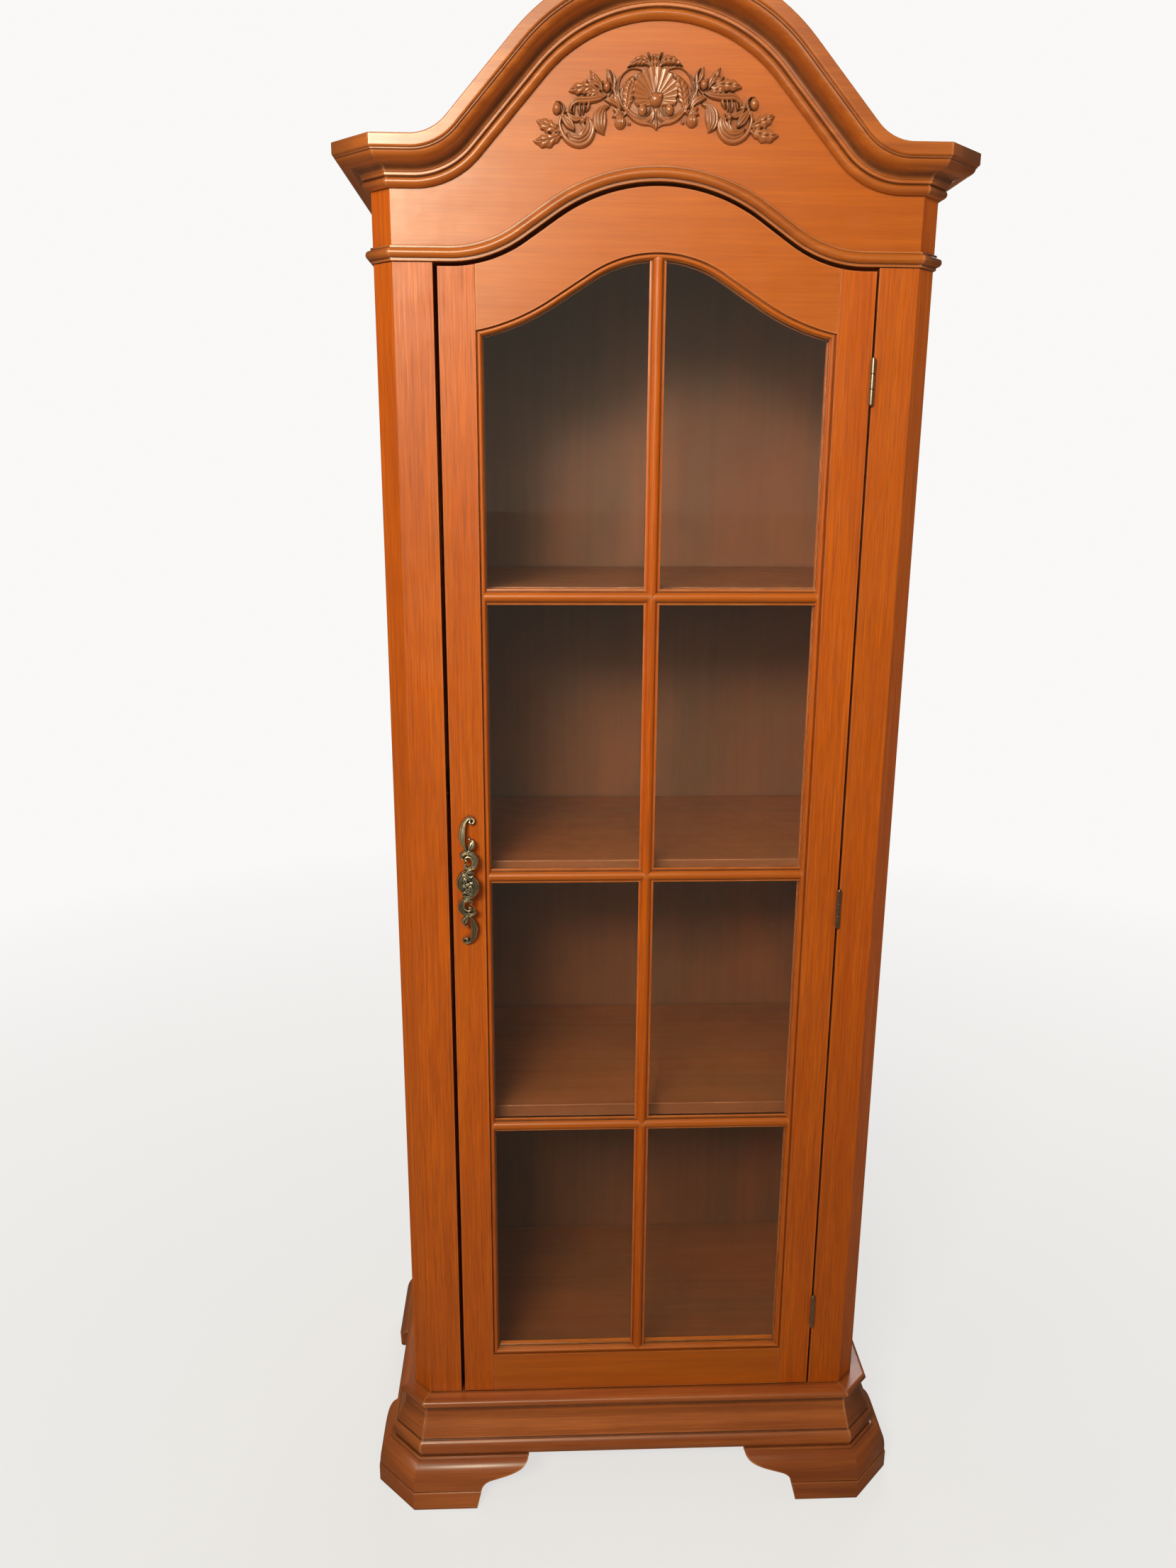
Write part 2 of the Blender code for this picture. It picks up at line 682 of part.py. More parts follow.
def build_glass_beads(x0, x1, bottom):
    inner = door_line(LIGHT_CURVE, -0.6 - BEAD_WIDTH, LIGHT_SPRING)
    outer = arch_between(door_line(LIGHT_CURVE, -0.6, LIGHT_SPRING), x0, x1)
    arch_strip = outer + list(reversed(arch_between(inner, x0, x1)))
    door_piece("glass_bead_top", face_prism(arch_strip, BEAD_FRONT, BEAD_BACK), "wood")
    top = arch_height(inner, x0) - GAP
    door_piece("glass_bead_left", box(x0, x0 + BEAD_WIDTH, BEAD_FRONT, BEAD_BACK, bottom, top), "wood")
    door_piece("glass_bead_right", box(x1 - BEAD_WIDTH, x1, BEAD_FRONT, BEAD_BACK, bottom, top), "wood")
    edge = BEAD_WIDTH + GAP
    low_bead = box(x0 + edge, x1 - edge, BEAD_FRONT, BEAD_BACK, bottom, bottom + BEAD_WIDTH)
    door_piece("glass_bead_bottom", low_bead, "wood")


# ---------------------------------------------------------------- hinges and catch

def build_hinges():
    third = HINGE_HEIGHT / 3
    for number, level in enumerate(HINGE_LEVELS, 1):
        low = level - HINGE_HEIGHT / 2
        outer = [(low, low + third - GAP / 2), (low + 2 * third + GAP / 2, low + HINGE_HEIGHT)]
        middle = [(low + third + GAP / 2, low + 2 * third - GAP / 2)]
        hinge_leaf("hinge_%d_post_leaf" % number, 1, low, outer)
        hinge_leaf("hinge_%d_door_leaf" % number, -1, low, middle)
        pin = upright_tube(AXIS_X, AXIS_DEPTH, PIN_RADIUS, low - 1.5, low + HINGE_HEIGHT + 1.5)
        make("hinge_%d_pin" % number, pin, "brass", origin=(AXIS_X, AXIS_DEPTH, 0.0))


def hinge_leaf(name, side, low, spans):
    """Flat leaf with knuckles over the given height spans."""
    near = AXIS_X + side * (GAP / 2 + 0.2)
    far = near + side * LEAF_THICK
    x0, x1 = sorted((near, far))
    top = low + HINGE_HEIGHT
    leaf = make(name, box(x0, x1, GAP, LEAF_DEPTH, low, top), "brass", origin=(AXIS_X, AXIS_DEPTH, 0.0))
    for z0, z1 in spans:
        tab = box(x0, x1, AXIS_DEPTH + 1.8, GAP + 1.0, z0, z1)
        combine(leaf, [upright_tube(AXIS_X, AXIS_DEPTH, KNUCKLE_RADIUS, z0, z1), tab], "UNION")
    bore = upright_tube(AXIS_X, AXIS_DEPTH, PIN_RADIUS + PIN_CLEARANCE, low - 3.0, top + 3.0)
    return combine(leaf, [bore], "DIFFERENCE")


def build_catch():
    low, high = CATCH_Z - CATCH_HALF, CATCH_Z + CATCH_HALF
    block = box(CATCH_OUTER, CATCH_INNER, FACE_THICK + GAP, CATCH_BACK, low, high)
    body = make("catch_body", block, "dark")
    outer, near, far = CATCH_TONGUE_OUTER, CATCH_TONGUE_FRONT, CATCH_TONGUE_BACK
    tongue = box(outer, CATCH_INNER, near, far, low + 1.0, high - 1.0)
    combine(body, [tongue], "UNION")
    front = DOOR_THICK + GAP
    left, right = CATCH_TONGUE_OUTER + 5.0, CATCH_INNER - 1.0
    plate = box(left, right, front, front + STRIKE_THICK, low + 2.0, high - 2.0)
    door_piece("strike_plate", plate, "steel")


# ---------------------------------------------------------------- pull handle

def bolt_places():
    dx, dz = PULL_LEG
    return ((PULL_X - dx, PULL_Z + dz), (PULL_X + dx, PULL_Z - dz))


def pull_depth(z):
    """The pull bows out from the door, furthest at its middle."""
    return -(4.0 + 15.0 * (1 - (z / PULL_HALF) ** 2))


def tube(path, radius_at, sides=8):
    """Round tube along a path, with its radius set by the fraction travelled."""
    rings = []
    last = len(path) - 1
    for i, point in enumerate(path):
        before = Vector(path[max(0, i - 1)])
        after = Vector(path[min(last, i + 1)])
        forward = (after - before).normalized()
        across = forward.cross(Vector((0.0, 1.0, 0.0))).normalized()
        up = across.cross(forward)
        radius = radius_at(i / last)
        ring = []
        for k in range(sides):
            u, v = turn(radius, radius, 360.0 * k / sides)
            ring.append(tuple(Vector(point) + u * across + v * up))
        rings.append(ring)
    return loft(rings)


def taper(size, start=0.75, end=0.55):
    """Radius along a stroke: it grows over the first quarter and shrinks over the last two fifths."""
    def radius_at(t):
        growth = start + (1 - start) * min(1.0, 4 * t)
        shrink = 1 - (1 - end) * max(0.0, (t - 0.6) / 0.4)
        return size * growth * shrink
    return radius_at


def pull_strokes():
    """Half of the pull as (x, z) strokes about its centre. The other half is turned half a turn."""
    hook = [(1, 84), (6, 84.5), (5, 88.5), (-1, 89), (-5.5, 82), (-7.2, 70), (-6, 58), (-1, 47)]
    leaf = [(-2, 46), (1, 53), (7, 57)]
    scroll = [(-5, 35), (-8, 40), (-4, 46), (4, 45), (9.5, 37), (9.5, 27), (4, 20), (-3, 20)]
    cartouche = [(5, 17), (-1, 20), (-8, 14), (-11, 3), (-9.5, -8), (-3, -15)]
    return hook, leaf, scroll, cartouche


def dome(x, y, z, rx, ry, rz, rows=8, sides=14):
    rings = []
    for row in range(1, rows):
        u, v = turn(1.0, 1.0, -90 + 180.0 * row / rows)
        rings.append([(x + rx * u * c, y + ry * v, z + rz * u * s)
                      for c, s in (turn(1.0, 1.0, 360.0 * k / sides) for k in range(sides))])
    return loft(rings)


def build_pull():
    pieces = []
    for turned in (1, -1):
        for number, stroke in enumerate(pull_strokes()):
            knots = [(PULL_X + turned * x, pull_depth(z), PULL_Z + turned * z) for x, z in stroke]
            size = PULL_STROKE if number != 1 else 1.9
            pieces.append(flat_facets(tube(smooth_path(knots, 2), taper(size))))
    for x, z in bolt_places():
        pieces.append(rod(x, z, PULL_LEG_RADIUS, pull_depth(z - PULL_Z) + 0.5, -GAP, 14))
    pull = door_piece("pull_handle", dome(PULL_X, pull_depth(0) - 0.4, PULL_Z, 8.6, 4.2, 15.5), "brass")
    combine(pull, pieces, "UNION")
    holes = [rod(x, z, BOLT_RADIUS + PIN_CLEARANCE, -7.0, 2.0) for x, z in bolt_places()]
    combine(pull, holes, "DIFFERENCE")
    face = DOOR_THICK + GAP
    for word, (x, z) in zip(("upper", "lower"), bolt_places()):
        bolt = door_piece("pull_bolt_" + word, rod(x, z, BOLT_RADIUS, -6.5, face + 1.0), "steel")
        combine(bolt, [rod(x, z, BOLT_HEAD_RADIUS, face, face + BOLT_HEAD)], "UNION")


# ---------------------------------------------------------------- carved ornament

def relief_stroke(knots, width, height, back, steps=2):
    """Rounded stroke standing on a flat back, drawn through (x, z) knots."""
    path = smooth_path(knots, steps)
    last = len(path) - 1
    rings = []
    for i, (x, z) in enumerate(path):
        xa, za = path[max(0, i - 1)]
        xb, zb = path[min(last, i + 1)]
        size = math.hypot(xb - xa, zb - za)
        nx, nz = -(zb - za) / size, (xb - xa) / size
        t = i / last
        swell = 0.45 + 0.55 * math.sin(math.pi * min(1.0, 0.12 + 0.88 * t)) ** 0.6 if t < 1 else 0.45
        ring = [(x - nx * width * swell / 2, back, z - nz * width * swell / 2)]
        for u, v in arc((0.0, 0.0), width * swell / 2, height * (0.6 + 0.4 * swell), 180, 0, 4):
            ring.append((x + nx * u, back - 1.5 - v, z + nz * u))
        ring.append((x + nx * width * swell / 2, back, z + nz * width * swell / 2))
        rings.append(ring)
    return loft(rings)


def relief_dome(x, z, rx, rz, height, back, sides=12, rows=3):
    outline = circle(sides)
    rings = [[(x + rx * c, back, z + rz * s) for c, s in outline]]
    for row in range(rows):
        u, v = turn(1.0, 1.0, 90.0 * row / rows)
        front = back - 1.5 - height * v
        rings.append([(x + rx * u * c, front, z + rz * u * s) for c, s in outline])
    return loft(rings)


def circle(sides):
    return [turn(1.0, 1.0, 360.0 * k / sides) for k in range(sides)]


def carving_strokes():
    """Left half of the ornament as (knots, width, height), in millimetres from its centre."""
    return (
        ([(-10, 40), (-27, 36), (-38, 27), (-42, 12), (-40, -4), (-31, -17), (-19, -22), (-9, -17),
          (-8, -9), (-15, -7)], 8, 8),
        ([(-30, -16), (-46, -6), (-58, 6), (-71, 17), (-73, 30)], 11, 6),
        ([(-38, -8), (-44, 4), (-48, 17), (-55, 31)], 10, 6),
        ([(-46, -7), (-64, 3), (-79, 9), (-96, 10)], 11, 5),
        ([(-36, -14), (-58, -3), (-73, 0), (-86, 0), (-94, -7), (-92, -16), (-83, -16)], 8, 8),
        ([(-57, -30), (-69, -43), (-83, -48), (-97, -46), (-105, -38), (-106, -27), (-99, -19),
          (-90, -21), (-88, -29)], 10, 9),
        ([(-58, -4), (-54, -16), (-54, -27), (-60, -38)], 10, 7),
        ([(-104, -32), (-107, -20), (-110, -10)], 7, 6),
        ([(-100, -34), (-117, -30), (-133, -22)], 13, 6),
        ([(-99, -38), (-117, -43), (-135, -42)], 13, 6),
    )


def shell(back):
    """Fluted fan over the centre of the ornament."""
    ribs = 9
    sides = 36
    rows = 5
    rings = []
    for row in range(rows):
        t = row / (rows - 1)
        ring = []
        for k in range(sides + 1):
            fan = k / sides
            angle = math.radians(-8 + 196 * fan)
            flute = math.cos(math.pi * 2 * ribs * (fan - 0.5))
            reach = (31.0 + 16.0 * math.sin(angle)) * (1 + 0.05 * flute)
            radius = 4.0 + (reach - 4.0) * t
            relief = 3.0 + 7.0 * math.sin(math.pi * (0.18 + 0.72 * t)) + 1.3 * flute * t
            u, v = radius * math.cos(angle), radius * math.sin(angle)
            ring.append((u, back - relief, CARVING_Z - 3.0 + v))
        rings.append(ring)
    front = [point for ring in rings for point in ring]
    rear = [(x, back, z) for x, y, z in front]
    return shell_skin(front, rear, rows, sides + 1)


def shell_skin(front, rear, rows, count):
    """Close a front grid and its flat rear copy into one solid."""
    points = front + rear
    base = len(front)
    faces = []
    for row in range(rows - 1):
        for k in range(count - 1):
            a = row * count + k
            b = a + count
            faces.append((a, a + 1, b + 1, b))
            faces.append((base + a, base + b, base + b + 1, base + a + 1))
    edge = [k for k in range(count)]
    edge += [row * count + count - 1 for row in range(1, rows)]
    edge += [(rows - 1) * count + k for k in range(count - 2, -1, -1)]
    edge += [row * count for row in range(rows - 2, 0, -1)]
    for a, b in zip(edge, edge[1:] + edge[:1]):
        faces.append((a, b, base + b, base + a))
    return points, faces


def build_carving():
    """Build the ornament about x = 0, then move it to its own axis, a little left of the middle."""
    pieces = []
    lift = 0.05
    for number, (knots, width, height) in enumerate(carving_strokes()):
        for side in (-1, 1):
            back = -GAP - lift * (2 * number + (side > 0) + 1)
            placed = [(side * x, CARVING_Z + z) for x, z in knots]
            pieces.append(flat_facets(relief_stroke(placed, width, height, back)))
    for number, (x, z, rx, rz, height) in enumerate(
            ((0, 0, 10, 10, 9), (0, -18, 7, 14, 6), (-41, -22, 8, 8, 7), (-110, -9, 8, 8, 8))):
        for side in (-1, 1) if x else (1,):
            back = -GAP - lift * (24 + 2 * number + (side > 0))
            pieces.append(flat_facets(relief_dome(side * x, CARVING_Z + z, rx, rz, height, back)))
    carving = make("frieze_carving", flat_facets(shell(-GAP)), "wood")
    combine(carving, pieces, "UNION")
    carving.data.transform(Matrix.Translation((CARVING_X * MM, 0.0, 0.0)))


# ---------------------------------------------------------------- build

def build():
    clear_scene()
    build_posts()
    build_sides()
    build_boards()
    build_frieze()
    build_mouldings()
    build_feet()
    build_stiles()
    build_top_rail()
    build_bottom_rail()
    build_bars()
    build_glass()
    build_hinges()
    build_catch()
    build_pull()
    build_carving()


build()
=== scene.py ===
"""Looks of the tower display case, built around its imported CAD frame.

Sizes are in millimetres and become metres when a mesh is made. +Z is up and the front looks to -Y.
Depths are measured back from the front faces of the posts, as in the CAD part.
"""
import json
import math

import bmesh
import bpy
import numpy as np
from mathutils import Matrix, Vector


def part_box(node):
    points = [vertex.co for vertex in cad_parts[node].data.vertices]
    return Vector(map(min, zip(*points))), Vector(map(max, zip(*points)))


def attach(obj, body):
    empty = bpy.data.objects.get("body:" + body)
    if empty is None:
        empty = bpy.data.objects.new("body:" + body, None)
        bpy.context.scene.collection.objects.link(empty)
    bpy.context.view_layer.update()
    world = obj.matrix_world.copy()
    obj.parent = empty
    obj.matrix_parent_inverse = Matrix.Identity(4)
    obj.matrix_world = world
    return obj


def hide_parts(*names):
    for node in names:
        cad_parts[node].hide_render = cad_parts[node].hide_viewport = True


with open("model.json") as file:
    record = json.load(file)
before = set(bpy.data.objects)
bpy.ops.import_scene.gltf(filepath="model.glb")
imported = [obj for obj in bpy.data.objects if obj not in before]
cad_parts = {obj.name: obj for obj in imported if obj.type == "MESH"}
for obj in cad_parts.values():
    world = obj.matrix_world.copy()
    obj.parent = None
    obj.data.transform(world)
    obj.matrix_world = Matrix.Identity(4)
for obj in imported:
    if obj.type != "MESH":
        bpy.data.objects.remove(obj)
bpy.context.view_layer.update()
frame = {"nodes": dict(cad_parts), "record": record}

MM = 0.001
DEPTH_SHIFT = 158.0
TAN_MITRE = math.tan(math.radians(22.5))

RECORD = frame["record"]
BODY_OF = {node: body for body, nodes in RECORD["behaviour"]["bodies"].items() for node in nodes}
SIDES = ((-1, "left"), (1, "right"))


def node_box(node):
    """Corners of a CAD node in millimetres: (x, depth, z) lowest and highest."""
    return [(v.x / MM, v.y / MM + DEPTH_SHIFT, v.z / MM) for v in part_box(node)]


# ---------------------------------------------------------------- sizes, from the CAD nodes where they can

GAP = 0.3
FACE_HALF = 304.2
CANT = 23.7
CASE_HALF = node_box("side_right")[1][0]
CASE_DEPTH = node_box("side_right")[1][1]
FACE_THICK = node_box("post_left")[1][1]
OPENING_HALF = node_box("post_right")[0][0]
BASE_TOP = node_box("base_front")[1][2]
FOOT_HEIGHT = node_box("foot_front_left")[1][2]
BELT_BOTTOM = node_box("belt_left")[0][2]
CORNICE_BOTTOM = node_box("cornice_left")[0][2]
CORNICE_HEIGHT = node_box("cornice_left")[1][2] - CORNICE_BOTTOM
BASE_INWARD = 30.0
FOOT_INNER = 8.0
BELT_HEIGHT = 17.0
FRIEZE_UNDER_CORNICE = 40.0
EDGE_EASE = 0.9

# Feet: the front foot's front wing, and the width and bracket reach of all the side faces.
FRONT_FOOT_INNER = 235.7
FRONT_FOOT_REACH = 77.3
SIDE_FOOT_WIDTH = 86.0
SIDE_FOOT_REACH = 55.0
FRONT_OVERHANG = 56.0
REAR_FOOT_PANEL = 22.0

# Arches: (crown radius, foot radius, slope in degrees, rise).
CORNICE_CURVE = (173.6, 101.9, 47.9, 171.4)
DOOR_CURVE = (206.0, 158.0, 33.9, 86.6)
LIGHT_CURVE = (147.5, 258.3, 32.1, 91.0)
DOOR_SPRING = 1701.1
LIGHT_SPRING = 1627.4
BELT_CURVE = (DOOR_CURVE[0] + BELT_BOTTOM - DOOR_SPRING, DOOR_CURVE[1] - BELT_BOTTOM + DOOR_SPRING,
              DOOR_CURVE[2], DOOR_CURVE[3])

# Door.
DOOR_LEFT = node_box("stile_left")[0]
DOOR_RIGHT = node_box("stile_right")[1]
DOOR_X = (DOOR_LEFT[0] + DOOR_RIGHT[0]) / 2
DOOR_HALF = (DOOR_RIGHT[0] - DOOR_LEFT[0]) / 2
DOOR_BOTTOM = DOOR_LEFT[2]
DOOR_THICK = DOOR_RIGHT[1]
LIGHT_HALF = 211.15
LIGHT_BOTTOM = 221.3
LIP = 7.0
LIP_BACK = 10.0
LIP_ROOT = 1.0
LIP_FINENESS = (0.25, 1.0)
SEAM = 0.06
BAR_LEVELS = [sum(v[2] for v in node_box("bar_%d_left" % n)) / 2 for n in (1, 2, 3)]
BAR_HALF = 9.75
BAR_RADIUS = 6.1
BAR_BASE = 7.6
BAR_POINT = 3.0
BAR_SEAM = 0.12

# Hinges.
HINGE_LEVELS = [sum(v[2] for v in node_box("hinge_%d_pin" % n)) / 2 for n in (1, 2, 3)]
HINGE_HEIGHT = 52.0
KNUCKLE_RADIUS = 3.0
PIN_RADIUS = 1.3
LEAF_THICK = 1.2
LEAF_DEPTH = 18.0
LEAF_OFFSET = GAP / 2 + 0.2
LEAF_SCREWS = ((12.5, -17.0), (7.5, 0.0), (12.5, 17.0))
LEAF_SCREW_SLOT = 0.35
AXIS_X = 256.65
AXIS_DEPTH = -3.3

# Pull.
PULL_X = -231.5
PULL_Z = 959.4
PULL_HALF = 91.0
PULL_LEG = (7.2, 68.0)
PULL_CELL = 0.28
PULL_CELLS = (58, 336)
PULL_BOSS = ("boss", 0.0, 0.0, 3.4, 4.2, 7.0, 2)

# Catch screws: distance in from the body's left side, and up or down from its middle.
CATCH_SCREW_INWARD = 12.0
CATCH_SCREW_RISE = 8.5

# Carved ornament. It sits a little left of the middle and is turned a little to the left.
CARVING_X = -6.3
CARVING_Z = 1875.0
CARVING_TILT = 2.0
CARVING_CELL = 0.54
CARVING_REACH = 142.0
CARVING_LOW = -54.0
CARVING_HIGH = 50.0
CARVING_SUNK = 0.25
SHELL_PETALS = 24
OPEN_FIELD = -9.0

# Reliefs are drawn as strokes: (name, section, ribs, knots), with (x, z, half width, height) at each knot,
# and as domes: (name, x, z, half width, half height, relief, ribs). The ornament is its left half, with x
# outward from its axis. The pull is its upper half, with x to the right. Its lower half is the same, turned
# half a turn.
CARVED_STROKES = (
    ("crown", "flute", 3, [(0, 6.6, 1.2, 6), (0, 17.8, 2.3, 5), (0, 29.6, 4.4, 5), (0, 36.5, 6.6, 6.5), (0,
     40, 5.4, 5)]),
    ("crown lobe", "round", 0, [(1.4, 34, 1.6, 6), (3.8, 40.5, 2.4, 7.5), (6.6, 44.6, 2, 7), (8.2, 46.4, 0.9,
     5.5)]),
    ("top leaf", "leaf", 5, [(5.7, 32.9, 2.2, 5), (10.3, 37.4, 5.3, 6), (17.3, 38.3, 6, 6.5), (24.3, 35.8,
     3.8, 6), (30.5, 32.4, 0.9, 5)]),
    ("oval rim", "round", 0, [(15.9, 29.4, 1.1, 3.5), (22.1, 30.7, 1.4, 4.5), (28.3, 30.3, 1.4, 4.8), (34.7,
     26.4, 1.4, 4.8), (39.3, 20.6, 1.5, 4.8), (41.3, 13.7, 1.5, 4.8), (41, 6, 1.5, 4.8), (38.8, -1.8, 1.5,
     4.8), (35.4, -8.9, 1.6, 4.8), (30.4, -14.9, 1.8, 4.8), (23.8, -20.4, 2.2, 4.8), (16, -23.7, 2.4, 4.6),
     (8.9, -24.6, 2.2, 4.4), (4.2, -26.4, 1.6, 4), (-0.5, -30.1, 0.7, 3.5)]),
    ("oval band", "hollow", 0, [(33.4, -7.5, 2, 3.5), (29.2, -13.2, 3.1, 3.8), (23, -17.9, 3.6, 4), (15.2,
     -20.9, 3.6, 4), (8, -19.3, 3.1, 4), (4.4, -14.4, 2.2, 4), (3.6, -9.5, 1.3, 4)]),
    ("ball ring", "round", 0, [(25.3, -14.7, 0.9, 4), (21.4, -17.2, 1.3, 5), (15.5, -18.8, 1.4, 5.2), (10,
     -16.4, 1.4, 5.2), (7.1, -11.5, 1.3, 5), (7.1, -6.6, 0.9, 4.5)]),
    ("inner leaf", "leaf", 6, [(33.5, -11, 1.8, 3.5), (31.4, -3.3, 6, 5), (30, 5.1, 7.7, 6), (28.3, 12, 7.7,
     6.5), (25.5, 18.3, 5.1, 7), (23.1, 20.7, 1.3, 6)]),
    ("inner stem", "round", 0, [(33.9, -11.7, 0.9, 4.5), (35.9, -3.2, 1.2, 5.5), (36.3, 5.2, 1.2, 6), (33.8,
     12.8, 1.2, 6), (29.3, 19.7, 1.1, 6)]),
    ("fin outer", "leaf", 0, [(36.9, -7.4, 1.3, 3.5), (42.6, 1.1, 2, 4.5), (46, 9.6, 2.2, 5), (45.4, 17.2,
     2.2, 5), (46, 24.2, 2, 5), (50.8, 30.7, 0.7, 4)]),
    ("fin middle", "round", 0, [(36.9, -6.7, 0.9, 4), (41.4, 2.5, 1.2, 5), (43.4, 10.9, 1.2, 5.2), (41.9,
     18.6, 1, 5), (38.8, 24.1, 0.7, 4)]),
    ("fin inner", "leaf", 0, [(48.2, 15.9, 1.6, 4), (51, 22.2, 3.5, 5.5), (53.9, 31.6, 0.7, 4)]),
    ("bud sepal left", "round", 0, [(57.1, 4.2, 0.9, 4), (59.4, 9.8, 1.5, 5.5), (59.1, 17.1, 1.1, 5), (57.5,
     19.9, 0.5, 4)]),
    ("bud sepal right", "round", 0, [(51.6, 4.4, 0.9, 4), (48.5, 9.6, 1.3, 5.5), (48.5, 16.6, 0.9, 5)]),
    ("high leaf", "leaf", 3, [(60, 11.2, 2.2, 4), (64.1, 18.3, 5.3, 6), (68.6, 24.3, 4, 6), (72.6, 30.8, 0.5,
     4.5)]),
    ("high leaf side", "leaf", 0, [(63, 15.5, 1.8, 4), (71.6, 18.1, 3.1, 5.5), (76.9, 21.3, 0.5, 4.5)]),
    ("left leaf", "leaf", 4, [(63.2, 9.9, 2.4, 4), (71.7, 12.5, 5.5, 6), (81.9, 12.3, 7.7, 6.5), (90.5, 11.1,
     5.5, 6), (96.2, 9.8, 0.7, 4)]),
    ("left leaf low", "leaf", 3, [(59.4, 5.6, 1.8, 4), (66.4, 7.2, 4.7, 5), (73.4, 7.3, 4.6, 5), (76.3, 3.5,
     0.9, 4)]),
    ("arch", "flute", 2, [(95.1, -9.9, 1.5, 4), (93.7, -3.9, 3.1, 5.5), (87.7, 0.2, 4.2, 6.5), (79.1, 0.4,
     4.6, 6.5), (69.7, 0.9, 4, 6.5), (61.8, 2.5, 3.5, 6), (54.7, 4.8, 1.5, 5)]),
    ("drop left", "round", 0, [(90.2, -4.3, 1.3, 5), (91.2, -9.9, 1.8, 5), (90.9, -13.5, 0.7, 4)]),
    ("drop middle", "round", 0, [(83.8, -0.9, 1.3, 5), (85.2, -7.9, 2.4, 6.5), (84.2, -13.9, 1.5, 6)]),
    ("drop right", "round", 0, [(79.5, -1, 1.3, 5), (80.1, -8, 2.2, 6), (80.9, -13.6, 1.1, 5)]),
    ("drop last", "round", 0, [(73.6, 0.3, 1.5, 5), (75, -6, 2.4, 6), (77.5, -10.9, 1.1, 5)]),
    ("leaflet low", "leaf", 0, [(39.7, -9.5, 1.3, 4), (44.7, -3.4, 3.6, 5.5), (50.9, -0.5, 4, 6), (57, -0.2,
     0.7, 4.5)]),
    ("leaflet high", "leaf", 0, [(38.2, -9.5, 1.1, 4), (42.3, -2.4, 2.4, 5.5), (45.7, 2.6, 2, 5.5), (47.2,
     6.1, 0.5, 4)]),
    ("hanging leaf", "flute", 4, [(51.8, -6.1, 1.5, 4.5), (58.2, -8.4, 4.6, 6.5), (61.9, -14.7, 8, 7.5),
     (62.8, -21.8, 8.4, 8), (61.8, -28.1, 6.6, 7.5), (58.8, -33.9, 1.5, 5)]),
    ("rosebud leaf 1", "leaf", 0, [(37.1, -16.2, 1.5, 4.5), (42.1, -11.9, 4, 6), (47.6, -9.3, 0.7, 4.5)]),
    ("rosebud leaf 2", "leaf", 0, [(39.5, -18, 1.5, 4.5), (44.6, -15.4, 3.1, 5.5), (49, -17.1, 0.5, 4)]),
    ("rosebud leaf 3", "leaf", 0, [(36.4, -16.6, 1.3, 4.5), (33.5, -13.1, 2.7, 5.5), (29.2, -11.8, 0.5, 4)]),
    ("left ball stem", "round", 0, [(110.8, 0.1, 0.9, 4), (105.4, -0.7, 1.6, 5), (102, -5.5, 1.8, 5.5),
     (102.8, -11.1, 2, 5.5), (105.9, -16.7, 2.2, 5.5)]),
    ("big scroll rim", "round", 0, [(105.9, -16, 2.2, 5.5), (107.3, -23, 2.6, 5), (105.2, -30.9, 2.9, 5),
     (100, -38.8, 3.3, 5.5), (92.2, -43.6, 3.5, 5.5), (83.6, -44.4, 3.5, 5.5), (76, -40.7, 3.5, 5.5), (71.3,
     -33.6, 3.3, 5.5), (70.4, -26.6, 2.9, 5.5), (73, -20.1, 2.2, 5), (77.2, -16.2, 1.3, 4.5)]),
    ("big scroll body", "flute", 3, [(76.5, -18, 2.2, 6), (75.1, -25.1, 5.3, 7), (78.5, -32.8, 6.6, 7.5),
     (85.7, -37.3, 6.4, 7.5), (93.6, -36.1, 5.1, 6.5), (99, -31.7, 1.8, 4)]),
    ("big scroll inner", "flute", 2, [(82.1, -22.8, 2.4, 6.5), (81.1, -27.8, 3.1, 7), (84.8, -33.4, 3.1, 7),
     (89.6, -36.1, 1.3, 5.5)]),
    ("big scroll leaf", "flute", 3, [(104.6, -11.8, 1.8, 5), (101.6, -17.5, 4.4, 6.5), (96.7, -23.2, 5.7,
     7.5), (92.5, -28.3, 3.3, 7), (91.5, -31.1, 0.7, 5)]),
    ("big scroll neck", "flute", 2, [(99.4, -10.5, 1.3, 5), (95.3, -15.5, 3.3, 5.5), (89.1, -18.8, 3.5, 5.5),
     (82.8, -17.1, 1.5, 5)]),
    ("big scroll tip", "leaf", 0, [(102.2, -11.1, 0.9, 5), (97.5, -10.5, 2.4, 6), (91.2, -12.4, 0.5, 4.5)]),
    ("tip leaf high", "leaf", 4, [(106.8, -30.1, 1.8, 4), (113.8, -27.5, 6.4, 5.5), (122.3, -23.8, 8, 6),
     (128.4, -20.5, 5.1, 5.5), (133, -18.7, 0.7, 4)]),
    ("tip leaf low", "leaf", 4, [(105.3, -33.7, 1.8, 4), (112.5, -36.4, 6, 6), (122.1, -39.4, 8.4, 6.5),
     (130.7, -39.6, 6.2, 6), (137.4, -38.9, 0.9, 4.5)]),
    ("pendant", "round", 0, [(-0.6, -8.8, 1.1, 5.5), (-0.4, -16.6, 1.5, 5.5), (-0.3, -24.4, 2.4, 5.5), (-0.4,
     -28.6, 2.7, 5.5), (-0.5, -32, 0.4, 3)]),
    ("pendant flute", "round", 0, [(2.8, -10.2, 1.3, 4), (2.6, -17.2, 2, 4.2), (5.7, -22.8, 1.3, 3.8)]),
)
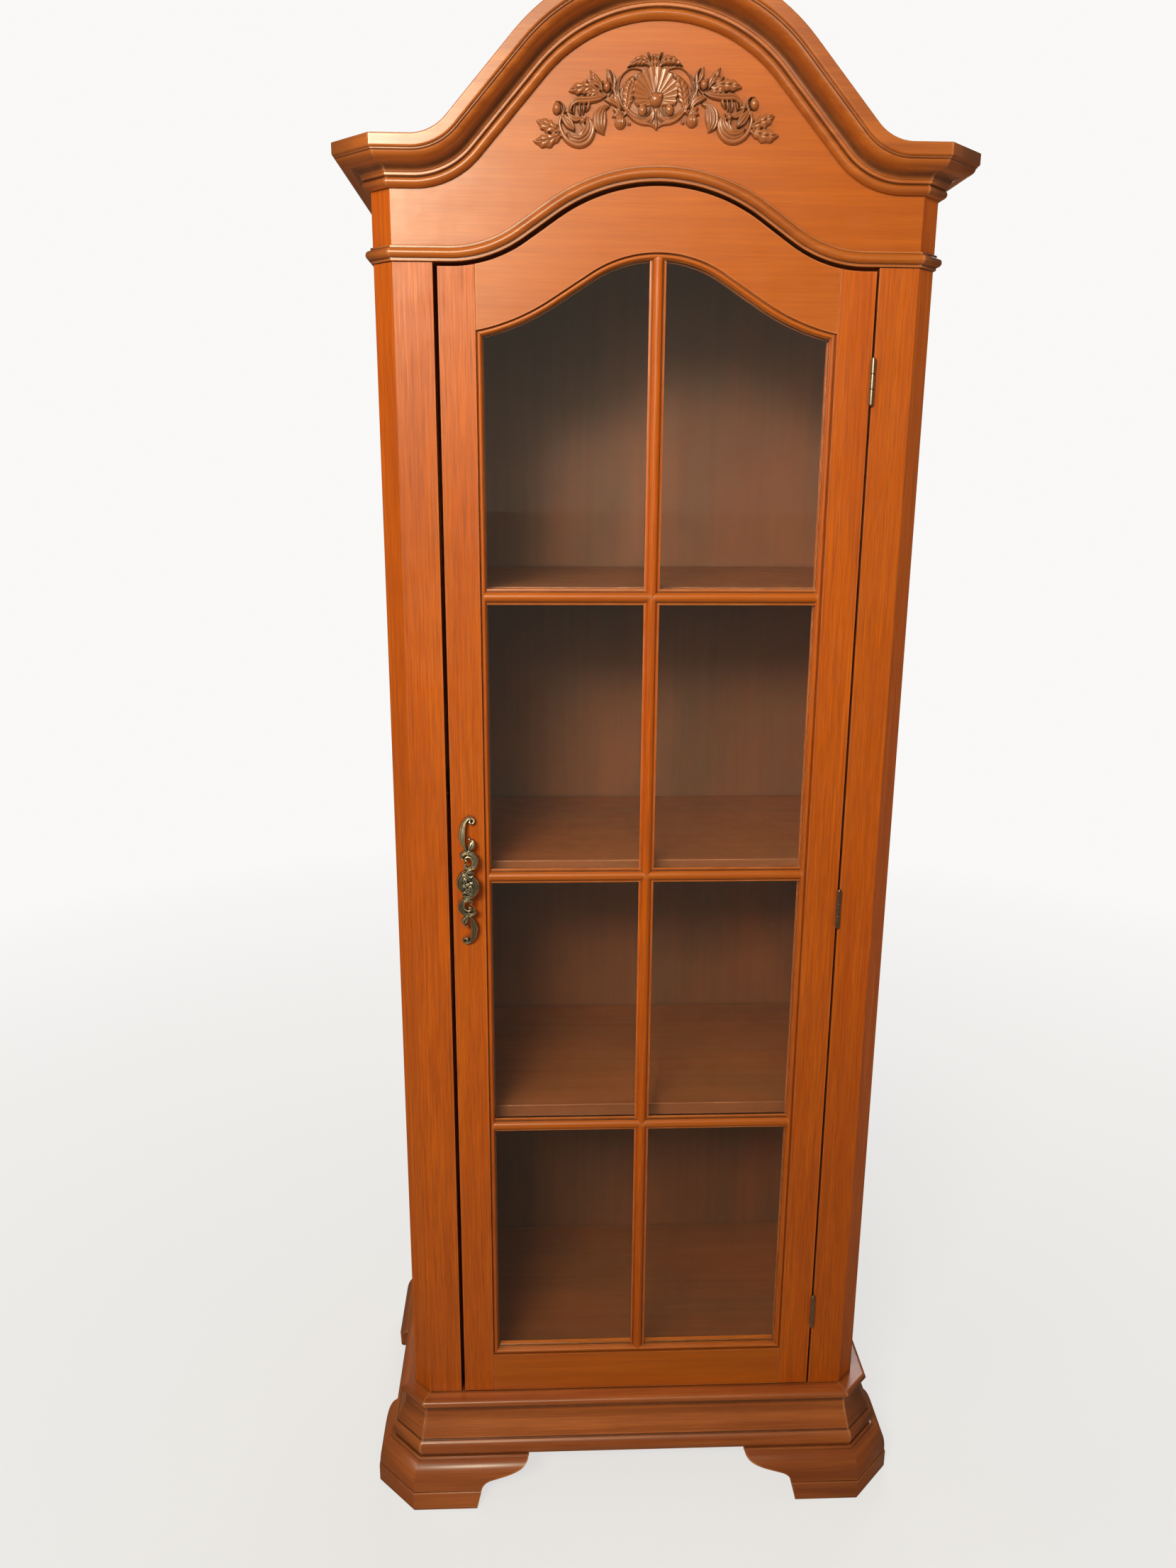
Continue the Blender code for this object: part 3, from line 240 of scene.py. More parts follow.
CARVED_DOMES = (
    ("ball", 15, -11.4, 5.7, 7, 8, 0),
    ("inner curl", 25.3, 19.3, 3.7, 4.1, 7.5, 0),
    ("bud", 53.9, 13.2, 4.8, 6.4, 7.5, 0),
    ("rosebud", 40, -22.2, 6.8, 7.7, 8.5, 3),
    ("bead", 30, -23.8, 2.3, 2.4, 4.5, 0),
    ("left ball", 110, -7.1, 5.5, 7, 7.5, 0),
    ("scroll eye", 81.7, -20.3, 4.2, 4.1, 7.8, 0),
    ("tip bud high", 112.1, -26.1, 2.8, 2.9, 6.5, 0),
    ("tip bud low", 109.6, -33, 2.5, 2.7, 6.5, 0),
    ("heart", 0, -0.7, 8.1, 8.2, 9, 0),
    ("heart lobe", 5.3, 2.5, 3.7, 3.9, 8.4, 0),
)
PULL_STROKES = (
    ("hook", "channel", 0, [(3.5, 80.7, 1.4, 3), (6.2, 79.1, 1.5, 3.6), (8.4, 81.8, 1.7, 4), (6, 85.2, 2.2,
     4.2), (0.5, 84.6, 2.6, 4.4), (-3.8, 79.7, 3.2, 4.6), (-6.2, 71.3, 4.1, 4.8), (-6.9, 62.4, 4.4, 5),
     (-5.6, 54.3, 3.4, 4.8), (-3.3, 48.3, 2.2, 4.4), (-1, 42.9, 1.4, 3.6)]),
    ("hook curl", "round", 0, [(3.6, 82.7, 1.4, 3.4), (2.7, 80.1, 1.8, 4), (4.6, 78.1, 1.2, 3.4)]),
    ("bud", "leaf", 0, [(0.6, 41.8, 1.4, 3), (2.9, 46.7, 3.1, 4.4), (5.6, 51.9, 4.5, 5.2), (6.4, 56.4, 2.7,
     4.4), (5.1, 58.3, 1, 3)]),
    ("scroll", "channel", 0, [(-6.8, 34.4, 1.6, 3), (-7.5, 39.2, 2.7, 4.2), (-1.8, 42.6, 3.3, 4.8), (5.4,
     40.5, 3.7, 5), (10.1, 33.2, 3.9, 5), (8, 24.6, 3.7, 5), (1.7, 21.1, 3.1, 4.8), (-3.4, 23.7, 2.5, 4.4),
     (-3, 27.6, 1.6, 3.4)]),
    ("scroll inner", "round", 0, [(4.7, 22.7, 1.6, 3.4), (6.4, 29.2, 2.1, 4.2), (5, 34.8, 2.1, 4.2), (0.5,
     37, 2.1, 4.2), (-2.8, 35.3, 1.8, 4), (-3.5, 32.1, 1.6, 3.6)]),
    ("scroll foot", "round", 0, [(3.7, 20.3, 1.4, 3), (-0.3, 17.5, 1.8, 3.6), (-3.2, 14.6, 1.4, 3)]),
    ("band", "channel", 0, [(6.1, 11.7, 1.5, 3), (5.2, 15.9, 2.4, 4), (-0.3, 17.3, 3.1, 4.8), (-6.2, 13, 4.2,
     5.4), (-10.2, 4.9, 4.6, 5.8), (-9.4, -3.2, 4.4, 5.8), (-5.7, -9.1, 3.3, 5.2), (-2.6, -14.3, 2, 4)]),
    ("band curl", "round", 0, [(6.1, 11.3, 2, 4.2), (3.4, 9.7, 2, 4.4), (1.5, 11.7, 1.5, 4)]),
    ("petal", "leaf", 0, [(0, 0, 2, 4), (-3.2, 3.2, 3.8, 6), (-3.4, 7.8, 3.3, 5.6), (-1.4, 10, 1.3, 4)]),
    ("petal side", "leaf", 0, [(0, -0.8, 2, 4), (-4.4, -1.9, 3.6, 6), (-6.4, 0.8, 2, 5)]),
    ("shell", "flute", 3, [(-3.7, -4.9, 1.6, 4), (-0.2, -9.1, 4.3, 5.2), (3.9, -12.6, 3.9, 5), (7.4, -14.3,
     1.6, 4)]),
    ("link", "round", 0, [(0.9, 42.9, 2.3, 3.4), (-0.1, 38.9, 2, 3.2)]),
)
PULL_DOMES = (
    ("hook ball", 3.7, 79.7, 2, 2, 4.6, 0),
    ("small ball", 2.3, 59.8, 2, 2, 4.4, 0),
    ("scroll ball", -1.9, 32.4, 2.4, 2.7, 5.6, 0),
    ("curl ball", 3.5, 11.3, 1.8, 1.8, 5.2, 0),
)


# ---------------------------------------------------------------- curves

def turn(rx, ry, degrees):
    angle = math.radians(degrees)
    return rx * math.cos(angle), ry * math.sin(angle)


def arc(centre, rx, ry, start, end, steps):
    points = []
    for i in range(steps + 1):
        u, v = turn(rx, ry, start + (end - start) * i / steps)
        points.append((centre[0] + u, centre[1] + v))
    return points


def bezier(a, b, c, d, steps):
    points = []
    for i in range(1, steps + 1):
        t = i / steps
        weights = ((1 - t) ** 3, 3 * t * (1 - t) ** 2, 3 * t * t * (1 - t), t ** 3)
        points.append(tuple(sum(w * p[k] for w, p in zip(weights, (a, b, c, d))) for k in (0, 1)))
    return points


def half_arch(curve, steps=18):
    """Points and outward normals of an arch from its crown to its foot, with the foot at height 0."""
    crown, foot, slope, rise = curve
    angle = math.radians(slope)
    both = crown + foot
    straight = (rise - both * (1 - math.cos(angle))) / math.sin(angle)
    span = both * math.sin(angle) + straight * math.cos(angle)
    stations = []
    for i in range(steps + 1):
        a = angle * i / steps
        sine, cosine = math.sin(a), math.cos(a)
        stations.append((crown * sine, rise - crown * (1 - cosine), sine, cosine))
    for i in range(steps + 1):
        a = angle * (1 - i / steps)
        sine, cosine = math.sin(a), math.cos(a)
        stations.append((span - foot * sine, foot * (1 - cosine), sine, cosine))
    return stations


def arch(curve, offset, level):
    """Arch line from left foot to right foot, moved outward by offset and raised to level."""
    right = [(x + offset * nx, level + z + offset * nz) for x, z, nx, nz in half_arch(curve)]
    left = [(-x, z) for x, z in reversed(right)]
    return left[:-1] + right


def arch_height(line, x):
    if x <= line[0][0] or x >= line[-1][0]:
        return line[0][1]
    for (xa, za), (xb, zb) in zip(line, line[1:]):
        if xa <= x <= xb:
            return za + (zb - za) * (x - xa) / (xb - xa)
    return line[0][1]


def arch_between(line, x0, x1):
    """The part of an arch line between two x values, with both ends added."""
    inner = [(x, z) for x, z in line if x0 + 0.5 < x < x1 - 0.5]
    return [(x0, arch_height(line, x0))] + inner + [(x1, arch_height(line, x1))]


def smooth_path(knots, steps):
    """Catmull-Rom path through knots."""
    path = []
    last = len(knots) - 1
    for i in range(last):
        a, b, c, d = [knots[max(0, min(last, i + k))] for k in (-1, 0, 1, 2)]
        for s in range(steps):
            t = s / steps
            path.append(tuple(
                0.5 * (2 * q + (r - p) * t + (2 * p - 5 * q + 4 * r - w) * t * t
                       + (3 * q - p - 3 * r + w) * t ** 3)
                for p, q, r, w in zip(a, b, c, d)))
    path.append(tuple(knots[last]))
    return path


def soften(outline, radius, least=20.0):
    """Round the corners of a closed outline that turn by more than least degrees."""
    rounded = []
    count = len(outline)
    for i in range(count):
        here = Vector(outline[i])
        back = Vector(outline[i - 1]) - here
        ahead = Vector(outline[(i + 1) % count]) - here
        if min(back.length, ahead.length) < 1e-6:
            continue
        bend = 180.0 - math.degrees(back.angle(ahead))
        if bend < least:
            rounded.append(tuple(here))
            continue
        reach = min(radius, 0.42 * back.length, 0.42 * ahead.length)
        start = here + back.normalized() * reach
        end = here + ahead.normalized() * reach
        for t in (0.0, 0.34, 0.66, 1.0):
            rounded.append(tuple((1 - t) ** 2 * start + 2 * t * (1 - t) * here + t * t * end))
    return rounded


def spaced(outline, step):
    """A closed outline with extra points, so that no side is longer than step."""
    points = []
    for a, b in zip(outline, outline[1:] + outline[:1]):
        size = math.dist(a, b)
        parts = max(1, math.ceil(size / step))
        for k in range(parts):
            t = k / parts
            points.append(tuple(p + (q - p) * t for p, q in zip(a, b)))
    return points


def hollowness(outline, reach=3.6, full=0.75):
    """For each point of a closed outline, how far it lies in a hollow, from 0 to 1."""
    count = len(outline)
    area = sum(a[0] * b[1] - b[0] * a[1] for a, b in zip(outline, outline[1:] + outline[:1]))
    sign = 1.0 if area > 0 else -1.0
    values = []
    for i in range(count):
        here = Vector(outline[i])
        ends = []
        for way in (-1, 1):
            travelled = 0.0
            k = i
            while travelled < reach:
                following = (k + way) % count
                travelled += math.dist(outline[k], outline[following])
                k = following
            ends.append(Vector(outline[k]))
        along = ends[1] - ends[0]
        if along.length < 1e-6:
            values.append(0.0)
            continue
        outward = Vector((along.y, -along.x)).normalized() * sign
        depth = ((ends[0] + ends[1]) / 2 - here).dot(outward)
        values.append(max(0.0, min(1.0, depth / full)))
    return values


# ---------------------------------------------------------------- shapes: (points, faces, hollow darkening per point)

def loft(rings, hollow_darkening=None):
    """Solid through rings that all have the same number of points."""
    count = len(rings[0])
    points = [point for ring in rings for point in ring]
    faces = []
    for row in range(len(rings) - 1):
        a = row * count
        b = a + count
        for i in range(count):
            j = (i + 1) % count
            faces.append((a + i, a + j, b + j, b + i))
    faces.append(tuple(range(count)))
    faces.append(tuple(range((len(rings) - 1) * count, len(rings) * count)))
    return points, faces, list(hollow_darkening) * len(rings) if hollow_darkening else None


def join(shapes):
    points, faces, hollow_darkening = [], [], []
    for shape in shapes:
        start = len(points)
        points += shape[0]
        faces += [tuple(start + i for i in face) for face in shape[1]]
        hollow_darkening += shape[2] or [0.0] * len(shape[0])
    return points, faces, hollow_darkening


def plan_prism(plan, z0, z1):
    return loft([[(x, y, z) for x, y in plan] for z in (z0, z1)])


def face_prism(outline, y0, y1):
    return loft([[(x, y, z) for x, z in outline] for y in (y0, y1)])


def side_prism(outline, x0, x1):
    return loft([[(x, y, z) for y, z in outline] for x in (x0, x1)])


def box(x0, x1, y0, y1, z0, z1):
    return plan_prism([(x0, y0), (x1, y0), (x1, y1), (x0, y1)], z0, z1)


# ---------------------------------------------------------------- pieces

def mesh_of(name, shape):
    points, faces, hollow_darkening = shape
    mesh = bpy.data.meshes.new(name)
    mesh.from_pydata([(x * MM, (y - DEPTH_SHIFT) * MM, z * MM) for x, y, z in points], [], faces)
    # Darkening of hollows per point: glaze and painted shade on wood, patina on brass.
    if hollow_darkening:
        layer = mesh.attributes.new("hollow_darkening", "FLOAT", "POINT")
        layer.data.foreach_set("value", hollow_darkening)
    work = bmesh.new()
    work.from_mesh(mesh)
    bmesh.ops.recalc_face_normals(work, faces=work.faces)
    work.to_mesh(mesh)
    work.free()
    return mesh


def ease_edges(mesh, width, least=35.0):
    """Bevel the outward edges of a mesh that turn by more than least degrees."""
    work = bmesh.new()
    work.from_mesh(mesh)
    edges = [e for e in work.edges
             if len(e.link_faces) == 2 and e.calc_face_angle_signed(0.0) > math.radians(least)]
    bmesh.ops.bevel(work, geom=edges, offset=width * MM, segments=2, profile=0.6,
                    affect="EDGES", clamp_overlap=True)
    work.to_mesh(mesh)
    work.free()


def finish_shading(obj, sharp=50.0):
    for face in obj.data.polygons:
        face.use_smooth = True
    obj.data.set_sharp_from_angle(angle=math.radians(sharp))
    normals = obj.modifiers.new("normals", "WEIGHTED_NORMAL")
    normals.keep_sharp = True


def zone(x, depth):
    """Which run of a wrapped moulding a point lies in: 0 front, 1 cant, 2 side."""
    if abs(x) < FACE_HALF - TAN_MITRE * depth:
        return 0
    return 2 if depth > CANT - TAN_MITRE * (abs(x) - CASE_HALF) else 1


def paint_runs(obj, woods, side):
    """Give the front, cant and side runs of a wrapped piece wood with the grain along each run."""
    cant = "left_cant" if side < 0 else "right_cant"
    obj.data.materials.clear()
    for along in ("x", cant, "y"):
        obj.data.materials.append(woods[along])
    for face in obj.data.polygons:
        face.material_index = zone(face.center.x / MM, face.center.y / MM + DEPTH_SHIFT)
    return obj


def place(name, mesh, mat, node, sharp=50.0):
    """Make an object with its material. It replaces a CAD node and takes the node's body."""
    obj = bpy.data.objects.new(name, mesh)
    bpy.context.collection.objects.link(obj)
    finish_shading(obj, sharp)
    obj.data.materials.clear()
    obj.data.materials.append(mat)
    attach(obj, BODY_OF[node])
    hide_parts(node)
    return obj


def add(name, shape, mat, node, ease=0.0, sharp=50.0):
    """Make one visible piece from a shape."""
    mesh = mesh_of(name, shape)
    if ease:
        ease_edges(mesh, ease)
    return place(name, mesh, mat, node, sharp)


def cut_or_join(obj, shapes, operation):
    """Join shapes to obj or cut them from it."""
    obj.modifiers.clear()
    for number, shape in enumerate(shapes):
        tool = bpy.data.objects.new("tool", mesh_of("tool", shape))
        bpy.context.collection.objects.link(tool)
        step = obj.modifiers.new("step%d" % number, "BOOLEAN")
        step.operation = operation
        step.solver = "EXACT"
        step.object = tool
        graph = bpy.context.evaluated_depsgraph_get()
        result = bpy.data.meshes.new_from_object(obj.evaluated_get(graph))
        obj.modifiers.clear()
        obj.data = result
        bpy.data.objects.remove(tool, do_unlink=True)
    finish_shading(obj)
    return obj


def refine(node, mat, ease, material_word="wood", least=40.0):
    """A copy of a CAD node with its flat faces merged and its outward edges eased."""
    mesh = frame["nodes"][node].data.copy()
    work = bmesh.new()
    work.from_mesh(mesh)
    bmesh.ops.remove_doubles(work, verts=work.verts, dist=1e-6)
    bmesh.ops.dissolve_limit(work, angle_limit=math.radians(1.0), verts=work.verts, edges=work.edges)
    work.to_mesh(mesh)
    work.free()
    ease_edges(mesh, ease, least)
    return place(node + "_" + material_word, mesh, mat, node)


# ---------------------------------------------------------------- materials

class Nodes:
    """Short way to build a node tree: a new material's, or the tree that is given."""

    def __init__(self, name="", tree=None):
        self.tree = tree
        if tree is None:
            self.mat = bpy.data.materials.new(name)
            self.mat.use_nodes = True
            self.tree = self.mat.node_tree
            self.shader = self.tree.nodes["Principled BSDF"]

    def add(self, kind, inputs=None, **settings):
        node = self.tree.nodes.new("ShaderNode" + kind)
        for key, value in settings.items():
            setattr(node, key, value)
        for key, value in (inputs or {}).items():
            self.feed(node.inputs[key], value)
        return node

    def feed(self, socket, value):
        """Link another node's output to a socket, or set the socket to a plain value."""
        if isinstance(value, bpy.types.NodeSocket):
            self.tree.links.new(value, socket)
        else:
            socket.default_value = value

    def math(self, operation, a, b=0.0):
        return self.add("Math", {0: a, 1: b}, operation=operation).outputs[0]

    def span(self, value, low, high, out_low=0.0, out_high=1.0):
        """Map a value from one range to another, clamped."""
        inputs = {"Value": value, "From Min": low, "From Max": high, "To Min": out_low, "To Max": out_high}
        return self.add("MapRange", inputs, clamp=True).outputs["Result"]

    def noise(self, vector, scale, detail=2.0, roughness=0.5, distortion=0.0):
        inputs = {"Vector": vector, "Scale": scale, "Detail": detail, "Roughness": roughness,
                  "Distortion": distortion}
        return self.add("TexNoise", inputs).outputs["Fac"]

    def scaled(self, vector, factors):
        return self.add("VectorMath", {0: vector, 1: factors}, operation="MULTIPLY").outputs[0]

    def mix(self, factor, a, b):
        node = self.add("Mix", data_type="RGBA")
        self.feed(node.inputs[0], factor)
        self.feed(node.inputs[6], a)
        self.feed(node.inputs[7], b)
        return node.outputs[2]

    def set(self, **values):
        """Set or link the shader's inputs, with underscores for spaces."""
        for key, value in values.items():
            self.feed(self.shader.inputs[key.replace("_", " ")], value)
        return self.mat


def colour(r, g, b):
    return (r, g, b, 1.0)


# How far each grain direction turns the object's coordinates about X, Y and Z, in degrees, so that the
# grain lies along X.
GRAIN_TURN = {
    "x": (0, 0, 0),
    "y": (0, 0, 90),
    "z": (0, 90, 0),
    "left_cant": (0, 0, 45),
    "right_cant": (0, 0, -45),
}
# Pale colour of the edges: rubbed wear, and also painted highlights along them.
RUBBED_EDGE_AND_HIGHLIGHT = colour(0.80, 0.36, 0.16)
OPEN_PORE = colour(0.20, 0.033, 0.004)


def wood(name, along, light=colour(0.66, 0.138, 0.004), dark=colour(0.54, 0.095, 0.002),
         hollow_darkening=colour(0.085, 0.026, 0.008), coat=0.26, roughness=0.36, pores=0.5, valley=0.85,
         patches=0.3, stain=colour(0.36, 0.070, 0.005), figured=0.16, edge_wear_and_highlight=0.35):
    """Stained and lacquered wood with its grain along one axis.

    Long pores and soft bands follow the grain and broad patches vary the stain. Dark glaze and painted shade
    lie in corners and in the hollows that a piece marks with its hollow_darkening attribute. Edges are
    painted pale, partly for rubbed wear and partly as painted highlights along them.
    """
    n = Nodes(name)
    here = n.add("TexCoord").outputs["Object"]
    angles = tuple(math.radians(a) for a in GRAIN_TURN[along])
    turned = n.add("Mapping", {"Vector": here, "Rotation": angles}).outputs[0]
    piece = n.math("MULTIPLY", n.add("ObjectInfo").outputs["Random"], 7.0)
    start = n.add("CombineXYZ", {0: piece, 1: piece, 2: piece}).outputs[0]
    grain = n.add("VectorMath", {0: turned, 1: start}, operation="ADD").outputs[0]
    wander = n.noise(n.scaled(grain, (2.2, 9.0, 9.0)), 1.0, 3.0, 0.55)
    bands = n.noise(n.scaled(grain, (2.6, 85.0, 85.0)), 1.0, 4.0, 0.6, 0.35)
    fine = n.noise(n.scaled(grain, (22.0, 850.0, 850.0)), 1.0, 3.0, 0.6)
    streak = n.noise(n.scaled(grain, (6.0, 380.0, 380.0)), 1.0, 2.0, 0.5)
    patch = n.noise(n.scaled(grain, (3.0, 9.0, 9.0)), 1.0, 3.0, 0.55)
    figure = n.math("ADD", n.math("MULTIPLY", wander, 0.35), n.math("MULTIPLY", bands, 0.65))
    shade = n.span(figure, 0.5 - figured, 0.5 + figured)
    base = n.mix(shade, dark, light)
    base = n.mix(n.span(patch, 0.3, 0.7, 0.0, patches), base, stain)
    pore = n.span(n.math("ADD", n.math("MULTIPLY", fine, 0.6), n.math("MULTIPLY", streak, 0.4)),
                  0.32, 0.64, 0.70 * pores, 0.0)
    base = n.mix(pore, base, OPEN_PORE)
    # Glaze and painted shade: darker in the hollows that the piece marks and, by ambient occlusion, in
    # corners and between parts.
    hollow = n.add("Attribute", attribute_name="hollow_darkening").outputs["Fac"]
    corner = n.add("AmbientOcclusion", {"Distance": 0.012}, samples=4).outputs["AO"]
    glaze_and_shade_mask = n.math("MAXIMUM", n.span(corner, 0.72, 0.28), n.span(hollow, 0.12, 1.0))
    uneven = n.span(n.noise(grain, 60.0, 3.0, 0.6), 0.25, 0.6, 0.75, 1.0)
    glaze_and_shade_mask = n.math("MULTIPLY", n.math("MULTIPLY", glaze_and_shade_mask, uneven), valley)
    base = n.mix(glaze_and_shade_mask, base, hollow_darkening)
    # Pale edges: rubbed wear, and painted highlights along the arrises.
    arris = n.add("AmbientOcclusion", {"Distance": 0.0025}, samples=4, inside=True).outputs["AO"]
    rubbed = n.span(n.noise(grain, 45.0, 3.0, 0.6), 0.35, 0.65, 0.2, 1.0)
    brightening = n.math("MULTIPLY", n.span(arris, 0.92, 0.45, 0.0, edge_wear_and_highlight), rubbed)
    base = n.mix(brightening, base, RUBBED_EDGE_AND_HIGHLIGHT)
    gloss = n.math("ADD", roughness, n.span(n.noise(here, 35.0, 4.0, 0.6), 0.3, 0.7, -0.05, 0.07))
    gloss = n.math("ADD", gloss, n.math("MULTIPLY", pore, 0.18))
    ripple = n.noise(n.scaled(grain, (5.0, 24.0, 24.0)), 1.0, 2.0, 0.5)
    height = n.math("ADD", n.math("MULTIPLY", pore, -0.25), n.math("MULTIPLY", ripple, 0.55))
    bump = n.add("Bump", {"Height": height, "Strength": 0.35, "Distance": 0.0004}).outputs[0]
    return n.set(Base_Color=base, Roughness=gloss, Normal=bump, Coat_Weight=coat, Coat_Roughness=0.28,
                 Coat_IOR=1.45, IOR=1.45)


def brass(name, middle=colour(0.46, 0.40, 0.27), bright=colour(0.86, 0.79, 0.60)):
    """Antique brass: bright where it is rubbed, nearly black in the recesses."""
    n = Nodes(name)
    here = n.add("TexCoord").outputs["Object"]
    corner = n.add("AmbientOcclusion", {"Distance": 0.0035}, samples=6).outputs["AO"]
    cloud = n.noise(here, 240.0, 4.0, 0.65)
    hollow = n.add("Attribute", attribute_name="hollow_darkening").outputs["Fac"]
    brightening = n.math("ADD", corner, n.span(cloud, 0.3, 0.7, -0.10, 0.10))
    brightening = n.math("SUBTRACT", brightening, n.math("MULTIPLY", hollow, 0.9))
    tint = n.mix(n.span(brightening, 0.25, 0.80), colour(0.030, 0.024, 0.016), middle)
    tint = n.mix(n.span(brightening, 0.84, 1.04), tint, bright)
    rough = n.span(brightening, 0.4, 1.0, 0.62, 0.33)
    bump = n.add("Bump", {"Height": cloud, "Strength": 0.25, "Distance": 0.0002}).outputs[0]
    return n.set(Base_Color=tint, Roughness=rough, Normal=bump, Metallic=1.0)


def steel(name):
    """Plain plated steel with fine brushing."""
    n = Nodes(name)
    here = n.add("TexCoord").outputs["Object"]
    lines = n.noise(n.scaled(here, (300.0, 300.0, 4000.0)), 1.0, 2.0, 0.5)
    cloud = n.noise(here, 90.0, 3.0, 0.6)
    shade = n.mix(n.span(cloud, 0.3, 0.7), colour(0.42, 0.42, 0.4284), colour(0.546, 0.546, 0.546))
    rough = n.span(n.math("ADD", lines, cloud), 0.6, 1.4, 0.25, 0.45)
    bump = n.add("Bump", {"Height": lines, "Strength": 0.12, "Distance": 0.0001}).outputs[0]
    return n.set(Base_Color=shade, Roughness=rough, Normal=bump, Metallic=1.0)


def plastic(name):
    """Brown moulded plastic with a fine sparked texture."""
    n = Nodes(name)
    here = n.add("TexCoord").outputs["Object"]
    grain = n.noise(here, 1400.0, 2.0, 0.6)
    shade = n.mix(n.noise(here, 40.0, 3.0, 0.5), colour(0.075, 0.036, 0.018), colour(0.105, 0.052, 0.027))
    bump = n.add("Bump", {"Height": grain, "Strength": 0.3, "Distance": 0.0001}).outputs[0]
    return n.set(Base_Color=shade, Roughness=n.span(grain, 0.3, 0.7, 0.42, 0.55), Normal=bump)


def clear_glass(name):
    """Clear float glass with a faint smear pattern. Lamps shine through it without being bent."""
    n = Nodes(name)
    here = n.add("TexCoord").outputs["Object"]
    smear = n.noise(n.scaled(here, (6.0, 6.0, 2.5)), 1.0, 5.0, 0.65, 0.6)
    tint = n.mix(n.span(smear, 0.35, 0.75), colour(0.91, 0.93, 0.91), colour(0.84, 0.86, 0.84))
    waves = n.noise(n.scaled(here, (3.0, 3.0, 5.0)), 1.0, 1.0, 0.5)
    bump = n.add("Bump", {"Height": waves, "Strength": 0.1, "Distance": 0.0004}).outputs[0]
    n.set(Base_Color=tint, Roughness=0.0, IOR=1.45, Transmission_Weight=1.0, Normal=bump)
    through = n.add("BsdfTransparent", {"Color": colour(0.93, 0.94, 0.93)})
    lamp = n.add("LightPath").outputs["Is Shadow Ray"]
    both = n.add("MixShader", {0: lamp, 1: n.shader.outputs[0], 2: through.outputs[0]})
    output = n.tree.nodes["Material Output"]
    n.tree.links.new(both.outputs[0], output.inputs["Surface"])
    return n.mat


# These woods darken in hollows and corners (glaze and painted shade) and pale on their edges (rubbed wear and
# painted highlights).
CHERRY = {along: wood("cherry_along_" + along, along, light=colour(0.63, 0.152, 0.006),
                      dark=colour(0.51, 0.108, 0.004), pores=0.4, coat=0.42) for along in GRAIN_TURN}
CHERRY["z"] = wood("cherry_upright", "z", light=colour(0.75, 0.160, 0.003), dark=colour(0.60, 0.105, 0.002),
                   pores=0.9, coat=0.10)
MOULDED = {along: wood("moulding_along_" + along, along, light=colour(0.63, 0.172, 0.018),
                       dark=colour(0.42, 0.100, 0.010), pores=0.45, coat=1.0, patches=0.6,
                       stain=colour(0.34, 0.075, 0.010), figured=0.10, edge_wear_and_highlight=0.5)
           for along in GRAIN_TURN}
PLINTH = {along: wood("plinth_along_" + along, along, light=colour(0.72, 0.205, 0.044),
                      dark=colour(0.45, 0.112, 0.022), pores=0.6, coat=1.0, patches=0.75,
                      stain=colour(0.30, 0.070, 0.018), figured=0.09, edge_wear_and_highlight=0.8)
          for along in GRAIN_TURN}
# Inside wood, much darker than the outside: its own tone and painted shade of the case's inside.
INSIDE = wood("shelf_wood", "x", coat=0.15, roughness=0.5,
              light=colour(0.21, 0.074, 0.026), dark=colour(0.145, 0.045, 0.014))
BACK = wood("back_wood", "z", coat=0.1, roughness=0.55,
            light=colour(0.125, 0.056, 0.026), dark=colour(0.085, 0.035, 0.016))
# Carving: strong darkening in its hollows, glaze and painted shade.
CARVED = wood("carved_wood", "x", light=colour(0.44, 0.158, 0.058), dark=colour(0.33, 0.108, 0.038),
              hollow_darkening=colour(0.060, 0.020, 0.008), coat=1.0, roughness=0.27, pores=0.15, valley=1.0, edge_wear_and_highlight=0.0)
BRASS = brass("antique_brass")
DULL_BRASS = brass("dull_brass", colour(0.26, 0.20, 0.135), colour(0.48, 0.40, 0.30))
STEEL = steel("plated_steel")
PLASTIC = plastic("brown_plastic")
GLASS = clear_glass("clear_glass")


# ---------------------------------------------------------------- moulding profiles, as (projection, height)

def cornice_profile():
    return (
        [(GAP, 0.0)]
        + arc((2.2, 5.6), 6.6, 5.6, -90, 55, 12)
        + [(9.7, 11.2), (9.7, 14.2)]
        + arc((24.0, 14.5), 13.2, 8.0, 180, 95, 10)
        + arc((24.6, 30.5), 11.2, 7.7, -85, 0, 12)
        + [(37.4, 31.4)]
        + arc((37.4, 35.2), 2.6, 2.4, -90, 0, 6)
        + arc((38.6, 45.6), 1.4, 1.4, 0, 90, 4)
        + [(GAP, CORNICE_HEIGHT)]
    )


def belt_profile():
    return (
        [(GAP, 0.0), (2.8, 0.0), (2.8, 2.9)]
        + arc((2.8, 8.6), 5.6, 5.3, -90, 90, 16)
        + [(2.8, 15.4)]
        + arc((1.6, 15.8), 1.2, 1.2, 0, 90, 4)
        + [(GAP, BELT_HEIGHT)]
    )


def base_profile():
    """Nosing, cove, swelling band, step and lower bead, down to the top of the feet."""
    top = BASE_TOP
    return (
        [(-BASE_INWARD, top), (16.0, top)]
        + arc((16.6, top - 4.9), 5.1, 4.9, 90, -75, 14)
        + arc((19.4, top - 18.5), 5.4, 8.0, 100, 205, 10)
        + bezier((14.6, top - 22.5), (15.6, top - 34.0), (22.5, top - 41.0), (26.8, top - 55.0), 12)
        + [(27.6, top - 56.2), (27.2, top - 58.6), (29.4, top - 59.8)]
        + arc((27.4, top - 71.0), 7.1, 11.4, 66, -50, 12)
        + [(30.6, FOOT_HEIGHT + GAP), (-BASE_INWARD, FOOT_HEIGHT + GAP)]
    )


